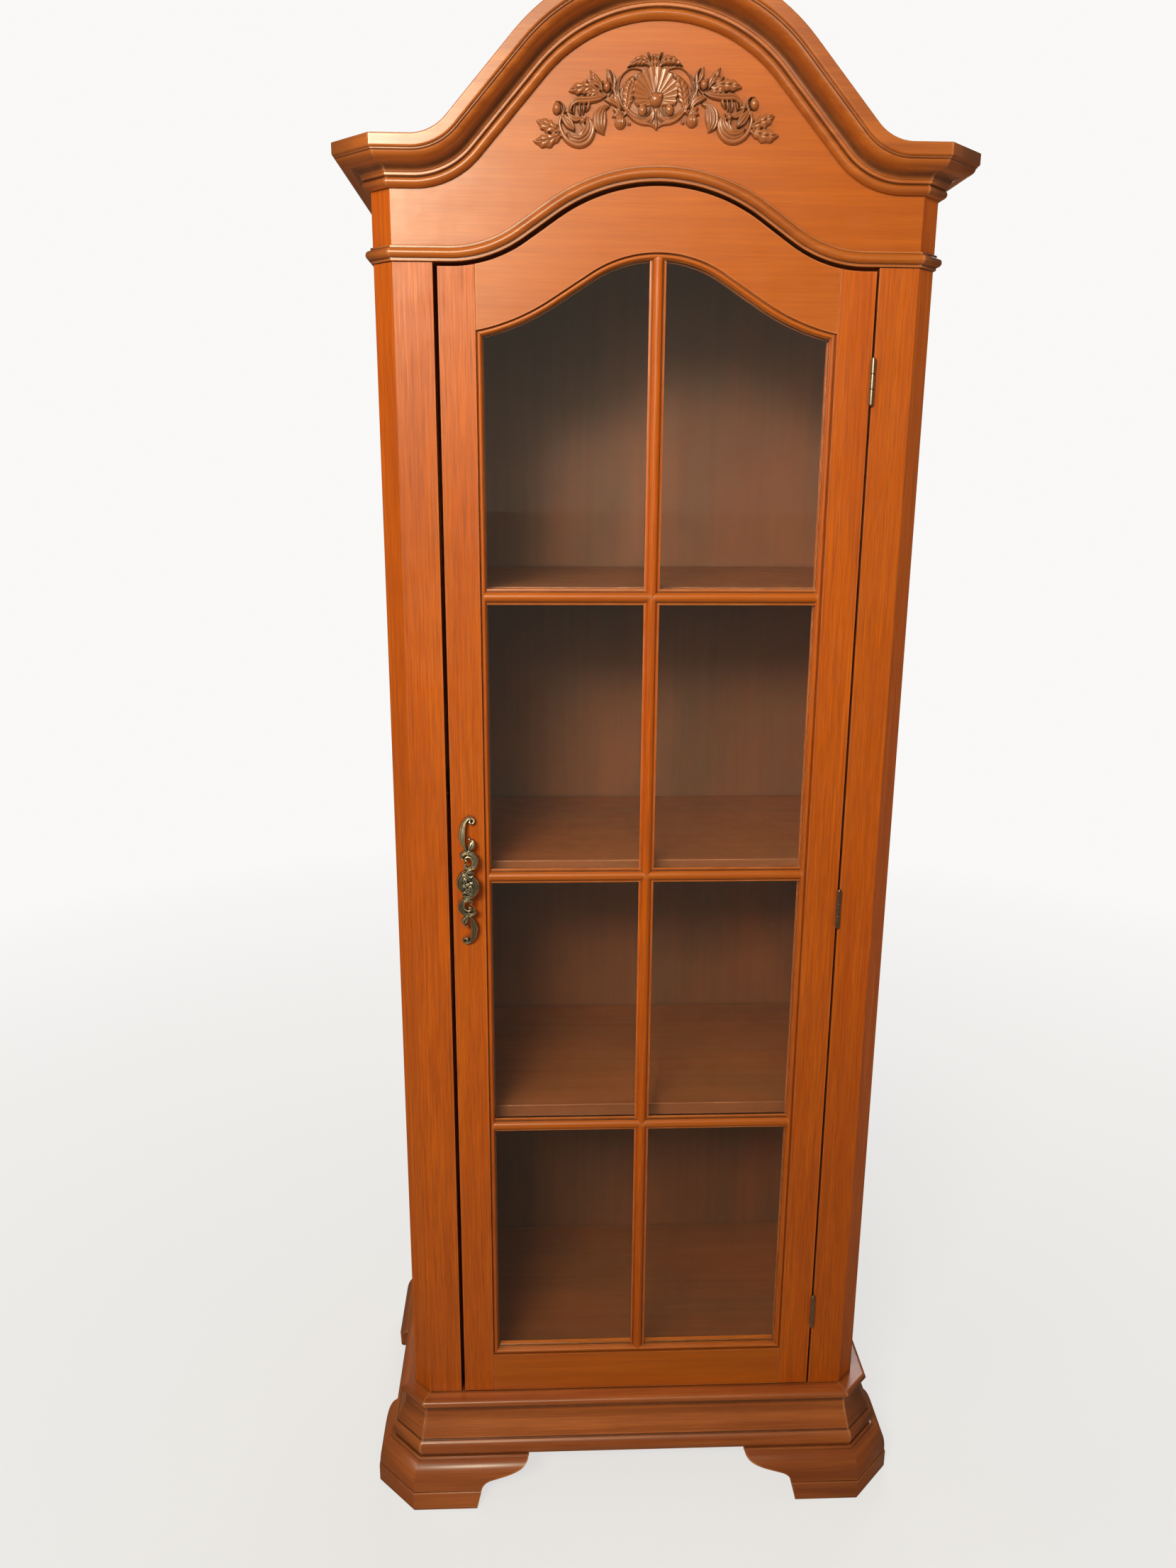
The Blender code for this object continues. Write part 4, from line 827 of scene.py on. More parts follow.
def foot_profile():
    """Ogee bulge over a plain block."""
    return (
        [(FOOT_INNER, FOOT_HEIGHT), (34.6, FOOT_HEIGHT), (35.4, 73.6)]
        + bezier((35.4, 73.6), (44.0, 71.5), (54.0, 64.0), (54.6, 36.0), 16)
        + [(54.6, 33.6), (53.4, 33.0), (53.4, 32.0)]
        + arc((54.0, 30.0), 2.0, 2.0, 90, 0, 4)
        + arc((51.0, 5.0), 5.0, 5.0, 0, -90, 6)
        + [(FOOT_INNER, 0.0)]
    )


def lip_profile():
    """Bead round the glass: (distance into the opening, depth), with a root inside the frame member."""
    return (
        [(-LIP_ROOT, 3.8), (0.9, 3.8)]
        + arc((3.5, 4.4), 2.6, -2.6, 167, 0, 12)
        + [(6.1, 5.4), (LIP, 5.8), (LIP, LIP_BACK), (-LIP_ROOT, LIP_BACK)]
    )


def bar_profile():
    """Half-round glazing bar on a flat base: (half width, depth) from the left edge to the right."""
    crown = [(u, BAR_BASE - v) for u, v in arc((0.0, 0.0), BAR_RADIUS, BAR_RADIUS, 180, 0, 20)]
    return (
        [(-BAR_HALF, LIP_BACK), (-BAR_HALF, BAR_BASE + 0.4), (-BAR_HALF + 2.2, BAR_BASE)]
        + crown
        + [(BAR_HALF - 2.2, BAR_BASE), (BAR_HALF, BAR_BASE + 0.4), (BAR_HALF, LIP_BACK)]
    )


def fine(profile, radius=0.45, step=1.1):
    """A profile with eased corners and close points, and its hollow darkening: glaze and painted shade."""
    dense = spaced(soften(profile, radius), step)
    return dense, hollowness(dense)


# ---------------------------------------------------------------- mouldings

def arched_rings(profile, curve, base_z):
    """Rings of a front moulding that follows an arch and ends in mitres."""
    half = [[(x + h * nx, -p, base_z + z + h * nz) for p, h in profile]
            for x, z, nx, nz in half_arch(curve)]
    half.append([(FACE_HALF + TAN_MITRE * p - GAP / 2, -p, base_z + h) for p, h in profile])
    mirror = [[(-x, y, z) for x, y, z in ring] for ring in reversed(half)]
    return mirror[:-1] + half


def straight_front_rings(profile):
    right = [(FACE_HALF + TAN_MITRE * p - GAP / 2, -p, h) for p, h in profile]
    return [[(-x, y, z) for x, y, z in right], right]


def wrap_rings(profile, side, base_z, back):
    """Rings of a side moulding: at the front mitre, at the side mitre and at the back."""
    front = [(side * (FACE_HALF + TAN_MITRE * p + GAP / 2), -p, base_z + h) for p, h in profile]
    corner = [(side * (CASE_HALF + p), CANT - TAN_MITRE * p, base_z + h) for p, h in profile]
    end = [(side * (CASE_HALF + p), back, base_z + h) for p, h in profile]
    return [front, corner, end]


def build_mouldings():
    for name, profile, curve, level, woods in (
            ("cornice", cornice_profile(), CORNICE_CURVE, CORNICE_BOTTOM, MOULDED),
            ("belt", belt_profile(), BELT_CURVE, BELT_BOTTOM, MOULDED),
            ("base", base_profile(), None, 0.0, PLINTH)):
        dense, hollow_darkening = fine(profile)
        rings = arched_rings(dense, curve, level) if curve else straight_front_rings(dense)
        node = name + "_front"
        add(node + "_moulding", loft(rings, hollow_darkening), woods["x"], node)
        for side, word in SIDES:
            node = name + "_" + word
            rings = wrap_rings(dense, side, level, CASE_DEPTH)
            piece = add(node + "_moulding", loft(rings, hollow_darkening), woods["y"], node)
            paint_runs(piece, woods, side)


# ---------------------------------------------------------------- carcass

def build_carcass():
    for side, word in SIDES:
        plan = [(OPENING_HALF, 0.0), (FACE_HALF, 0.0), (CASE_HALF, CANT), (CASE_HALF, FACE_THICK),
                (OPENING_HALF, FACE_THICK)]
        low, high = node_box("post_" + word)
        shape = plan_prism([(side * x, y) for x, y in plan], low[2], high[2])
        add("post_%s_wood" % word, shape, CHERRY["z"], "post_" + word, ease=0.9)
        refine("side_" + word, CHERRY["z"], 0.8)
    for node in ("floor_board", "shelf_1", "shelf_2", "shelf_3", "top_board"):
        refine(node, INSIDE, 1.2)
    refine("back_panel", BACK, 0.5)
    refine("base_back", CHERRY["x"], 1.0)


def build_frieze():
    lower = arch(BELT_CURVE, 0.0, BELT_BOTTOM)
    upper = arch(CORNICE_CURVE, FRIEZE_UNDER_CORNICE, CORNICE_BOTTOM)

    def ring(half, y):
        foot = [(-half, y, BELT_BOTTOM)] + [(x, y, z) for x, z in lower] + [(half, y, BELT_BOTTOM)]
        head_z = CORNICE_BOTTOM + FRIEZE_UNDER_CORNICE
        head = [(-half, y, head_z)] + [(x, y, z) for x, z in upper] + [(half, y, head_z)]
        return foot + list(reversed(head))

    rings = [ring(FACE_HALF, 0.0), ring(CASE_HALF, CANT), ring(CASE_HALF, FACE_THICK)]
    board = add("frieze_board", loft(rings), CHERRY["x"], "frieze", ease=0.9)
    board.data.materials.append(CHERRY["z"])
    for face in board.data.polygons:
        face.material_index = int(abs(face.normal.x) > 0.5 and abs(face.center.x) > FACE_HALF * MM)


# ---------------------------------------------------------------- feet

def bracket_cut(reach):
    """Region under a bracket foot, measured from the foot's inner bottom corner as (along, up)."""
    line = [(0.0, 0.0), (7.0, 31.0)]
    line += bezier(line[-1], (9.0, 42.0), (13.0, 46.5), (26.0, 50.0), 12)
    top = FOOT_HEIGHT + 1.0
    line += bezier(line[-1], (13.0 + 0.5 * reach, 57.0), (reach - 5.0, 62.0), (reach, top), 16)
    return [(0.0, -5.0)] + line + [(reach + 60.0, top), (reach + 60.0, -5.0)]


def side_cutter(outline, side):
    """Prism that reaches through the side face of a foot."""
    x0, x1 = sorted((side * (CASE_HALF - 15.0), side * (CASE_HALF + 70.0)))
    return side_prism(outline, x0, x1)


def build_feet():
    wing_front = FRONT_FOOT_INNER - FRONT_FOOT_REACH
    side_end = SIDE_FOOT_WIDTH + SIDE_FOOT_REACH - FRONT_OVERHANG
    profile, hollow_darkening = fine(foot_profile())
    for side, word in SIDES:
        tip = [(side * wing_front, -p, h) for p, h in profile]
        mitre = [(side * (FACE_HALF + TAN_MITRE * p), -p, h) for p, h in profile]
        corner = [(side * (CASE_HALF + p), CANT - TAN_MITRE * p, h) for p, h in profile]
        end = [(side * (CASE_HALF + p), side_end, h) for p, h in profile]
        node = "foot_front_" + word
        foot = add(node + "_wood", loft([tip, mitre, corner, end], hollow_darkening), CHERRY["x"], node)
        front_cut = [(side * (FRONT_FOOT_INNER - u), z) for u, z in bracket_cut(FRONT_FOOT_REACH)]
        side_cut = [(SIDE_FOOT_WIDTH - FRONT_OVERHANG + u, z) for u, z in bracket_cut(SIDE_FOOT_REACH)]
        cut_or_join(foot, [face_prism(front_cut, -70.0, 5.0), side_cutter(side_cut, side)], "DIFFERENCE")
        paint_runs(foot, PLINTH, side)
        build_rear_foot(side, word, profile, hollow_darkening)


def build_rear_foot(side, word, profile, hollow_darkening):
    start = CASE_DEPTH - SIDE_FOOT_WIDTH - SIDE_FOOT_REACH
    rings = [[(side * (CASE_HALF + p), y, h) for p, h in profile] for y in (start, CASE_DEPTH)]
    node = "foot_rear_" + word
    foot = add(node + "_wood", loft(rings, hollow_darkening), PLINTH["y"], node)
    x0, x1 = sorted((side * (CASE_HALF - 45.0), side * (CASE_HALF + 20.0)))
    panel = box(x0, x1, CASE_DEPTH - REAR_FOOT_PANEL, CASE_DEPTH, 0.0, FOOT_HEIGHT)
    cut_or_join(foot, [panel], "UNION")
    cut = [(CASE_DEPTH - SIDE_FOOT_WIDTH - u, z) for u, z in bracket_cut(SIDE_FOOT_REACH)]
    cut_or_join(foot, [side_cutter(cut, side)], "DIFFERENCE")


# ---------------------------------------------------------------- door

def door_line(curve, offset, level):
    return [(x + DOOR_X, z) for x, z in arch(curve, offset, level)]


def upright_lip(side):
    """Lip of a stile, mitred at both ends."""
    profile, hollow_darkening = fine(lip_profile(), *LIP_FINENESS)
    low = []
    high = []
    for s, depth in profile:
        x = DOOR_X + side * (LIGHT_HALF - s)
        top = arch_height(door_line(LIGHT_CURVE, -s, LIGHT_SPRING), x)
        low.append((x, depth, LIGHT_BOTTOM + s + GAP / 2))
        high.append((x, depth, top - GAP / 2))
    return loft([low, high], hollow_darkening)


def build_stiles():
    top_line = door_line(DOOR_CURVE, 0.0, DOOR_SPRING)
    for side, word in SIDES:
        x0, x1 = sorted((DOOR_X + side * LIGHT_HALF, DOOR_X + side * DOOR_HALF))
        top = list(reversed(arch_between(top_line, x0, x1)))
        outline = [(x0, DOOR_BOTTOM), (x1, DOOR_BOTTOM)] + top
        stile = add("stile_%s_wood" % word, face_prism(outline, 0.0, DOOR_THICK), CHERRY["z"],
                    "stile_" + word, ease=0.9)
        cut_or_join(stile, [upright_lip(side)], "UNION")


def build_top_rail():
    x0 = DOOR_X - LIGHT_HALF + SEAM
    x1 = DOOR_X + LIGHT_HALF - SEAM
    upper = arch_between(door_line(DOOR_CURVE, 0.0, DOOR_SPRING), x0, x1)
    lower = arch_between(door_line(LIGHT_CURVE, 0.0, LIGHT_SPRING), x0, x1)
    shape = face_prism(lower + list(reversed(upper)), 0.0, DOOR_THICK)
    rail = add("rail_top_wood", shape, CHERRY["x"], "rail_top", ease=0.3)
    profile, hollow_darkening = fine(lip_profile(), *LIP_FINENESS)
    rings = []
    for x, z, nx, nz in half_arch(LIGHT_CURVE):
        if x < LIGHT_HALF - 12.0:
            rings.append([(x + DOOR_X - s * nx, depth, z + LIGHT_SPRING - s * nz) for s, depth in profile])
    end = []
    for s, depth in profile:
        x = DOOR_X + LIGHT_HALF - max(s, GAP) - GAP
        end.append((x, depth, arch_height(door_line(LIGHT_CURVE, -s, LIGHT_SPRING), x)))
    rings.append(end)
    mirror = [[(2 * DOOR_X - x, y, z) for x, y, z in ring] for ring in reversed(rings)]
    cut_or_join(rail, [loft(mirror[:-1] + rings, hollow_darkening)], "UNION")


def build_bottom_rail():
    half = LIGHT_HALF - SEAM
    board = box(DOOR_X - half, DOOR_X + half, 0.0, DOOR_THICK, DOOR_BOTTOM, LIGHT_BOTTOM)
    rail = add("rail_bottom_wood", board, CHERRY["x"], "rail_bottom", ease=0.3)
    profile, hollow_darkening = fine(lip_profile(), *LIP_FINENESS)
    edge = DOOR_X + LIGHT_HALF - GAP
    right = [(edge - max(s, GAP), depth, LIGHT_BOTTOM + s) for s, depth in profile]
    left = [(2 * DOOR_X - x, y, z) for x, y, z in right]
    cut_or_join(rail, [loft([left, right], hollow_darkening)], "UNION")


def build_bars():
    """Glazing bars that meet in mitred points: the short bars end in points, and the upright is notched."""
    profile, hollow_darkening = fine(bar_profile(), 0.3, 1.0)
    inner = LIGHT_HALF - LIP + BAR_POINT
    crown = LIGHT_SPRING + LIGHT_CURVE[3] - LIP + 2.6

    def point_at(u):
        return BAR_POINT * min(1.0, abs(u) / BAR_HALF)

    low = [(DOOR_X + u, depth, LIGHT_BOTTOM + LIP - BAR_POINT + point_at(u)) for u, depth in profile]
    high = [(DOOR_X + u, depth, crown - point_at(u)) for u, depth in profile]
    upright = add("bar_upright_wood", loft([low, high], hollow_darkening), CHERRY["z"], "bar_upright")
    reach = BAR_HALF + 1.0
    notches = []
    for level in BAR_LEVELS:
        for side in (-1, 1):
            wedge = [(DOOR_X, level), (DOOR_X + side * reach, level - reach),
                     (DOOR_X + side * reach, level + reach)]
            notches.append(face_prism(wedge, -2.0, LIP_BACK + 2.0))
    cut_or_join(upright, notches, "DIFFERENCE")
    for number, level in enumerate(BAR_LEVELS, 1):
        for side, word in SIDES:
            outer = [(DOOR_X + side * (inner - point_at(u)), depth, level + u) for u, depth in profile]
            mitre = [(DOOR_X + side * (abs(u) + BAR_SEAM), depth, level + u) for u, depth in profile]
            node = "bar_%d_%s" % (number, word)
            add(node + "_wood", loft([outer, mitre], hollow_darkening), CHERRY["x"], node)


def build_glazing():
    refine("glass_pane", GLASS, 0.3, "clear", least=60.0)
    for word, axis in (("top", "x"), ("bottom", "x"), ("left", "z"), ("right", "z")):
        refine("glass_bead_" + word, CHERRY[axis], 1.0)


# ---------------------------------------------------------------- reliefs

EDGE_SLOPE = 4.0


def section(kind, ribs, s, along, length, high):
    """Relief over a stroke of a given kind. s runs from -1 to 1 across it and along is the distance run."""
    inside = np.clip(1.0 - s * s, 0.0, None)
    if kind == "round":
        return high * np.sqrt(inside)
    if kind == "flute":
        ridge = np.abs(np.sin(math.pi * ribs * (s + 1.0) / 2.0))
        return high * (0.72 + 0.28 * ridge) * inside ** 0.42
    if kind == "channel":
        rim = np.clip((np.abs(s) - 0.42) / 0.22, 0.0, 1.0)
        lines = 0.05 * np.cos(math.pi * 6.0 * s) * (1.0 - rim)
        return high * (0.56 + 0.44 * rim + lines) * (1.0 - np.clip(np.abs(s), 0.0, 1.0) ** 5) ** 0.5
    crease = 1.0 - 0.22 * np.exp(-(s / 0.13) ** 2)
    veins = 0.0
    if ribs:
        veins = 0.07 * np.cos(2.0 * math.pi * (ribs * along / length - 0.9 * np.abs(s)))
    return high * (crease + veins) * inside ** 0.40


def stroke_field(xs, zs, field, stroke):
    """Raise the field to the relief of one stroke. Beyond the stroke's edge the relief runs on below zero."""
    _, kind, ribs, knots = stroke
    path = np.array(smooth_path(knots, 5))
    reach = path[:, 2].max() + 2.0
    i0, i1 = np.searchsorted(xs, [path[:, 0].min() - reach, path[:, 0].max() + reach])
    j0, j1 = np.searchsorted(zs, [path[:, 1].min() - reach, path[:, 1].max() + reach])
    x, z = np.meshgrid(xs[i0:i1], zs[j0:j1], indexing="ij")
    nearest = np.full(x.shape, 1e9)
    side = np.zeros(x.shape)
    half = np.ones(x.shape)
    high = np.ones(x.shape)
    along = np.zeros(x.shape)
    run = 0.0
    for a, b in zip(path, path[1:]):
        dx, dz = b[0] - a[0], b[1] - a[1]
        size = math.hypot(dx, dz)
        if size < 1e-6:
            continue
        t = np.clip(((x - a[0]) * dx + (z - a[1]) * dz) / size ** 2, 0.0, 1.0)
        off_x, off_z = x - a[0] - t * dx, z - a[1] - t * dz
        distance = np.hypot(off_x, off_z)
        closer = distance < nearest
        nearest = np.where(closer, distance, nearest)
        side = np.where(closer, np.sign(dx * off_z - dz * off_x), side)
        half = np.where(closer, a[2] + (b[2] - a[2]) * t, half)
        high = np.where(closer, a[3] + (b[3] - a[3]) * t, high)
        along = np.where(closer, run + t * size, along)
        run += size
    if kind == "leaf" and ribs:
        half = half * (0.90 + 0.10 * np.cos(2.0 * math.pi * (ribs * along / run - 0.9)))
    body = section(kind, ribs, side * nearest / half, along, run, high)
    part = field[i0:i1, j0:j1]
    np.maximum(part, np.minimum(body, EDGE_SLOPE * (half - nearest)), out=part)
    outside = nearest > half
    part[outside] = np.maximum(part[outside], EDGE_SLOPE * (half - nearest)[outside])


def dome_field(xs, zs, field, dome):
    """Raise the field to the relief of one dome, ribbed if it says so."""
    _, cx, cz, rx, rz, high, ribs = dome
    x, z = np.meshgrid(xs, zs, indexing="ij")
    u, v = (x - cx) / rx, (z - cz) / rz
    q = np.hypot(u, v)
    body = high * np.sqrt(np.clip(1.0 - q * q, 0.0, None))
    if ribs:
        narrowing = 1.3 - 0.5 * np.clip(np.abs(v), 0.0, 1.0)
        body = body * (0.86 + 0.14 * np.abs(np.cos(math.pi * ribs * u / narrowing)))
    edge = EDGE_SLOPE * (1.0 - q) * min(rx, rz)
    np.maximum(field, np.where(q < 1.0, np.minimum(body, edge), edge), out=field)


def shell_field(xs, zs, field):
    """Scallop shell: rounded petals with sharp grooves between them, rising outward from the heart."""
    x, z = np.meshgrid(xs, zs, indexing="ij")
    angle = np.arctan2(z, x)
    distance = np.hypot(x, z)
    petal = np.abs(np.sin(angle * SHELL_PETALS / 2))
    reach = (24.5 + 9.0 * np.clip(np.sin(angle), 0.0, 1.0)) * (0.95 + 0.05 * petal)
    t = np.clip(distance / reach, 0.0, 1.0)
    body = 3.0 + 2.6 * t ** 1.6 + 1.25 * (petal ** 0.7 - 0.4) * np.clip(t * 1.6, 0.25, 1.0)
    edge = EDGE_SLOPE * (reach - distance)
    edge = np.minimum(edge, 1.4 * (z + 9.0))
    np.maximum(field, np.minimum(body, edge), out=field)
    plate = EDGE_SLOPE * (1.0 - np.hypot(x / 41.0, (z - 2.0) / 28.5)) * 28.5
    np.maximum(field, np.minimum(2.2, plate), out=field)


def blurred(field, passes=5):
    for axis in (0, 1) * passes:
        field = (np.roll(field, 1, axis) + field + np.roll(field, -1, axis)) / 3.0
    return field


def relief_shape(xs, zs, field, front, back, spread=5, full=0.8):
    """Closed solid of a relief. Its outline is moved onto the field's zero line, so it has no steps.

    front and back give the point for (x, z, height) on the two skins. Hollow darkening lies where the relief
    is lower than its surroundings, taken over spread blurring passes, and it is full at the given depth. On
    wood it is glaze and painted shade, on brass patina.
    """
    step = xs[1] - xs[0]
    lifted = field > 0.0
    cells = lifted[:-1, :-1] | lifted[1:, :-1] | lifted[1:, 1:] | lifted[:-1, 1:]
    slope_x, slope_z = np.gradient(field, step)
    steep = np.maximum(slope_x ** 2 + slope_z ** 2, 1e-6)
    shift = np.where(lifted, 0.0, -field / steep)
    size = np.maximum(np.abs(shift) * np.sqrt(steep), 1e-9)
    shift *= np.minimum(1.0, 0.9 * step / size)
    x, z = np.meshgrid(xs, zs, indexing="ij")
    x, z = x + shift * slope_x, z + shift * slope_z
    height = np.clip(field, 0.0, None)
    # Darkening of the relief's hollows: glaze and painted shade on wood, patina on brass.
    hollow = np.clip((blurred(height, spread) - height - 0.05) / full, 0.0, 1.0)
    number = {}
    points, rear, hollow_darkening, faces = [], [], [], []
    owners = {}

    def vertex(key):
        if key not in number:
            number[key] = len(points)
            points.append(front(x[key], z[key], height[key]))
            rear.append(back(x[key], z[key]))
            hollow_darkening.append(float(hollow[key]))
        return number[key]

    corners = [tuple(vertex(key) for key in ((i, j), (i + 1, j), (i + 1, j + 1), (i, j + 1)))
               for i, j in zip(*np.nonzero(cells))]
    for cell in corners:
        for a, b in zip(cell, cell[1:] + cell[:1]):
            owners[(a, b)] = True
    base = len(points)
    for cell in corners:
        faces.append(cell)
        faces.append(tuple(base + i for i in reversed(cell)))
    for a, b in owners:
        if (b, a) not in owners:
            faces.append((b, a, base + a, base + b))
    return points + rear, faces, hollow_darkening + [0.0] * len(rear)


def mirrored_field(xs, zs, field):
    """A field with its copy mirrored in x. xs runs from 0 outward."""
    return np.concatenate((-xs[:0:-1], xs)), np.concatenate((field[:0:-1], field))


def build_carving():
    xs = np.arange(0.0, CARVING_REACH, CARVING_CELL)
    zs = np.arange(CARVING_LOW, CARVING_HIGH, CARVING_CELL)
    field = np.full((len(xs), len(zs)), OPEN_FIELD)
    shell_field(xs, zs, field)
    for stroke in CARVED_STROKES:
        stroke_field(xs, zs, field, stroke)
    for dome in CARVED_DOMES:
        dome_field(xs, zs, field, dome)
    xs, field = mirrored_field(xs, zs, field)
    cosine, sine = turn(1.0, 1.0, CARVING_TILT)

    def placed(x, depth, z):
        return CARVING_X + x * cosine - z * sine, depth, CARVING_Z + x * sine + z * cosine

    shape = relief_shape(xs, zs, field, lambda x, z, h: placed(x, CARVING_SUNK - h, z),
                         lambda x, z: placed(x, CARVING_SUNK + 0.2, z))
    add("carved_ornament", shape, CARVED, "frieze_carving", sharp=180.0)


# ---------------------------------------------------------------- fittings

def lathe(profile, centre, axis, sides=28):
    """Turned solid: profile points are (distance along the axis, radius)."""
    rings = []
    for along, radius in profile:
        ring = []
        for k in range(sides):
            u, v = turn(radius, radius, 360.0 * k / sides)
            spot = {"x": (along, u, v), "y": (u, along, v), "z": (u, v, along)}[axis]
            ring.append(tuple(c + p for c, p in zip(centre, spot)))
        rings.append(ring)
    return loft(rings)


def pull_bow(z):
    """Depth of the middle of the pull, which bows out from the door."""
    return -(4.0 + 15.0 * (1.0 - (z / PULL_HALF) ** 2))


def build_pull():
    across, up = PULL_CELLS
    xs = np.arange(-across, across + 1) * PULL_CELL
    zs = np.arange(-up, up + 1) * PULL_CELL
    field = np.full((len(xs), len(zs)), OPEN_FIELD)
    for stroke in PULL_STROKES:
        stroke_field(xs, zs, field, stroke)
    for dome in PULL_DOMES:
        dome_field(xs, zs, field, dome)
    field = np.maximum(field, field[::-1, ::-1])
    dome_field(xs, zs, field, PULL_BOSS)
    casting = relief_shape(
        xs, zs, field, lambda x, z, h: (PULL_X + x, pull_bow(z) + 1.4 - 0.85 * h, PULL_Z + z),
        lambda x, z: (PULL_X + x, pull_bow(z) + 2.4, PULL_Z + z), spread=14, full=0.55)
    parts = [casting]
    dx, dz = PULL_LEG
    for sign in (-1, 1):
        start = pull_bow(dz) + 1.0
        collar = [(start, 3.2), (-4.0, 2.6), (-2.6, 2.7), (-2.2, 3.7), (-1.2, 4.3), (-GAP, 4.4)]
        parts.append(lathe(collar, (PULL_X + sign * dx, 0.0, PULL_Z - sign * dz), "y"))
    add("cast_pull", join(parts), BRASS, "pull_handle", sharp=70.0)
    face = DOOR_THICK + GAP
    for sign, word in ((-1, "upper"), (1, "lower")):
        centre = (PULL_X + sign * dx, 0.0, PULL_Z - sign * dz)
        head = [(-6.3, 1.9), (face, 1.9), (face, 4.7), (face + 0.9, 4.9), (face + 1.8, 3.9),
                (face + 2.3, 2.0)]
        bolt = add("pull_bolt_%s_turned" % word, lathe(head, centre, "y"), STEEL, "pull_bolt_" + word)
        x, y, z = centre
        slot = box(x - 6.0, x + 6.0, face + 1.3, face + 4.0, z - 0.6, z + 0.6)
        cut_or_join(bolt, [slot], "DIFFERENCE")


def hinge_shape(side, low, spans):
    """Leaf plate with rounded barrel knuckles over the given heights."""
    near = AXIS_X + side * LEAF_OFFSET
    x0, x1 = sorted((near, near + side * LEAF_THICK))
    plate = box(x0, x1, GAP, LEAF_DEPTH, low, low + HINGE_HEIGHT)
    extra = []
    for z0, z1 in spans:
        extra.append(box(x0, x1, AXIS_DEPTH + 1.8, GAP + 1.0, z0, z1))
        r = KNUCKLE_RADIUS
        barrel = [(z0, r - 0.5), (z0 + 0.15, r - 0.15), (z0 + 0.5, r), (z1 - 0.5, r), (z1 - 0.15, r - 0.15),
                  (z1, r - 0.5)]
        extra.append(lathe(barrel, (AXIS_X, AXIS_DEPTH, 0.0), "z", 32))
    return plate, extra


def build_hinges():
    third = HINGE_HEIGHT / 3
    for number, level in enumerate(HINGE_LEVELS, 1):
        low = level - HINGE_HEIGHT / 2
        top = low + HINGE_HEIGHT
        outer = [(low, low + third - GAP / 2), (low + 2 * third + GAP / 2, top)]
        middle = [(low + third + GAP / 2, low + 2 * third - GAP / 2)]
        for word, side, spans in (("post", 1, outer), ("door", -1, middle)):
            node = "hinge_%d_%s_leaf" % (number, word)
            plate, extra = hinge_shape(side, low, spans)
            leaf = add(node + "_brass", plate, DULL_BRASS, node)
            cut_or_join(leaf, extra, "UNION")
            bore = [(low - 3.0, PIN_RADIUS + 0.05), (top + 3.0, PIN_RADIUS + 0.05)]
            cut_or_join(leaf, [lathe(bore, (AXIS_X, AXIS_DEPTH, 0.0), "z", 24)], "DIFFERENCE")
            add_leaf_screws(node, side, level)
        r = PIN_RADIUS
        pin = [(low - 1.5, 0.5), (low - 1.3, 1.6), (low - 0.8, 2.1), (low - 0.2, 2.1), (low - 0.05, r),
               (top + 0.05, r), (top + 0.2, 2.1), (top + 0.8, 2.1), (top + 1.3, 1.6), (top + 1.5, 0.5)]
        node = "hinge_%d_pin" % number
        add(node + "_brass", lathe(pin, (AXIS_X, AXIS_DEPTH, 0.0), "z", 24), DULL_BRASS, node)


def add_leaf_screws(node, side, level):
    """Three slotted screw heads, flush in the face of a hinge leaf."""
    face = AXIS_X + side * LEAF_OFFSET
    for number, (depth, rise) in enumerate(LEAF_SCREWS, 1):
        spot = (face, depth, level + rise)
        ways = [(side * 0.5, 2.7), (-side * 0.05, 2.7), (-side * 0.14, 2.2)]
        name = "%s_screw_%d" % (node, number)
        screw = add(name, lathe(ways, spot, "x", 24), DULL_BRASS, node)
        x, y, z = spot
        x0, x1 = sorted((x + side * 0.12, x - side * 0.9))
        slot = box(x0, x1, y - 4.0, y + 4.0, z - LEAF_SCREW_SLOT, z + LEAF_SCREW_SLOT)
        cut_or_join(screw, [slot], "DIFFERENCE")


def build_catch():
    refine("catch_body", PLASTIC, 0.8, "shell")
    refine("strike_plate", STEEL, 0.25, "plate")
    low, high = node_box("catch_body")
    back = high[1]
    x = low[0] + CATCH_SCREW_INWARD
    for number, sign in enumerate((-1, 1), 1):
        z = (low[2] + high[2]) / 2 + sign * CATCH_SCREW_RISE
        head = [(back - 1.5, 3.0), (back + 0.5, 3.0), (back + 1.1, 2.4), (back + 1.4, 1.2)]
        screw = add("catch_screw_%d" % number, lathe(head, (x, 0.0, z), "y"), STEEL, "catch_body")
        slot = box(x - 4.0, x + 4.0, back + 0.7, back + 3.0, z - 0.4, z + 0.4)
        cut_or_join(screw, [slot], "DIFFERENCE")


# ---------------------------------------------------------------- floor, lights and camera

STUDIO_COLOUR = colour(0.95, 0.942, 0.93)
ROOM_COLOUR = colour(1.0, 0.88, 0.68)
ROOM_STRENGTH = 0.09
MIRRORED_COLOUR = colour(0.95, 0.90, 0.70)
MIRRORED_STRENGTH = 0.75
FLOOR_HALF = 40.0

# Area lights, in metres: (name, place, target, width, height, watts, tint, spread in degrees).
LIGHTS = (
    ("key", (-0.90, -2.45, 2.40), (-0.08, 0.0, 1.45), 0.9, 0.5, 30.0, (1.0, 0.92, 0.68), 120.0),
    ("left", (-1.6, -1.2, 2.9), (-0.2, 0.0, 1.7), 0.8, 0.6, 6.0, (1.0, 0.95, 0.84), 180.0),
    ("high", (0.16, -2.5, 2.78), (0.0, 0.0, 1.9), 0.5, 0.25, 1.8, (1.0, 0.90, 0.70), 120.0),
    ("back", (0.6, 2.6, 2.6), (0.0, 0.0, 1.1), 2.0, 1.6, 40.0, (1.0, 0.97, 0.94), 180.0),
)

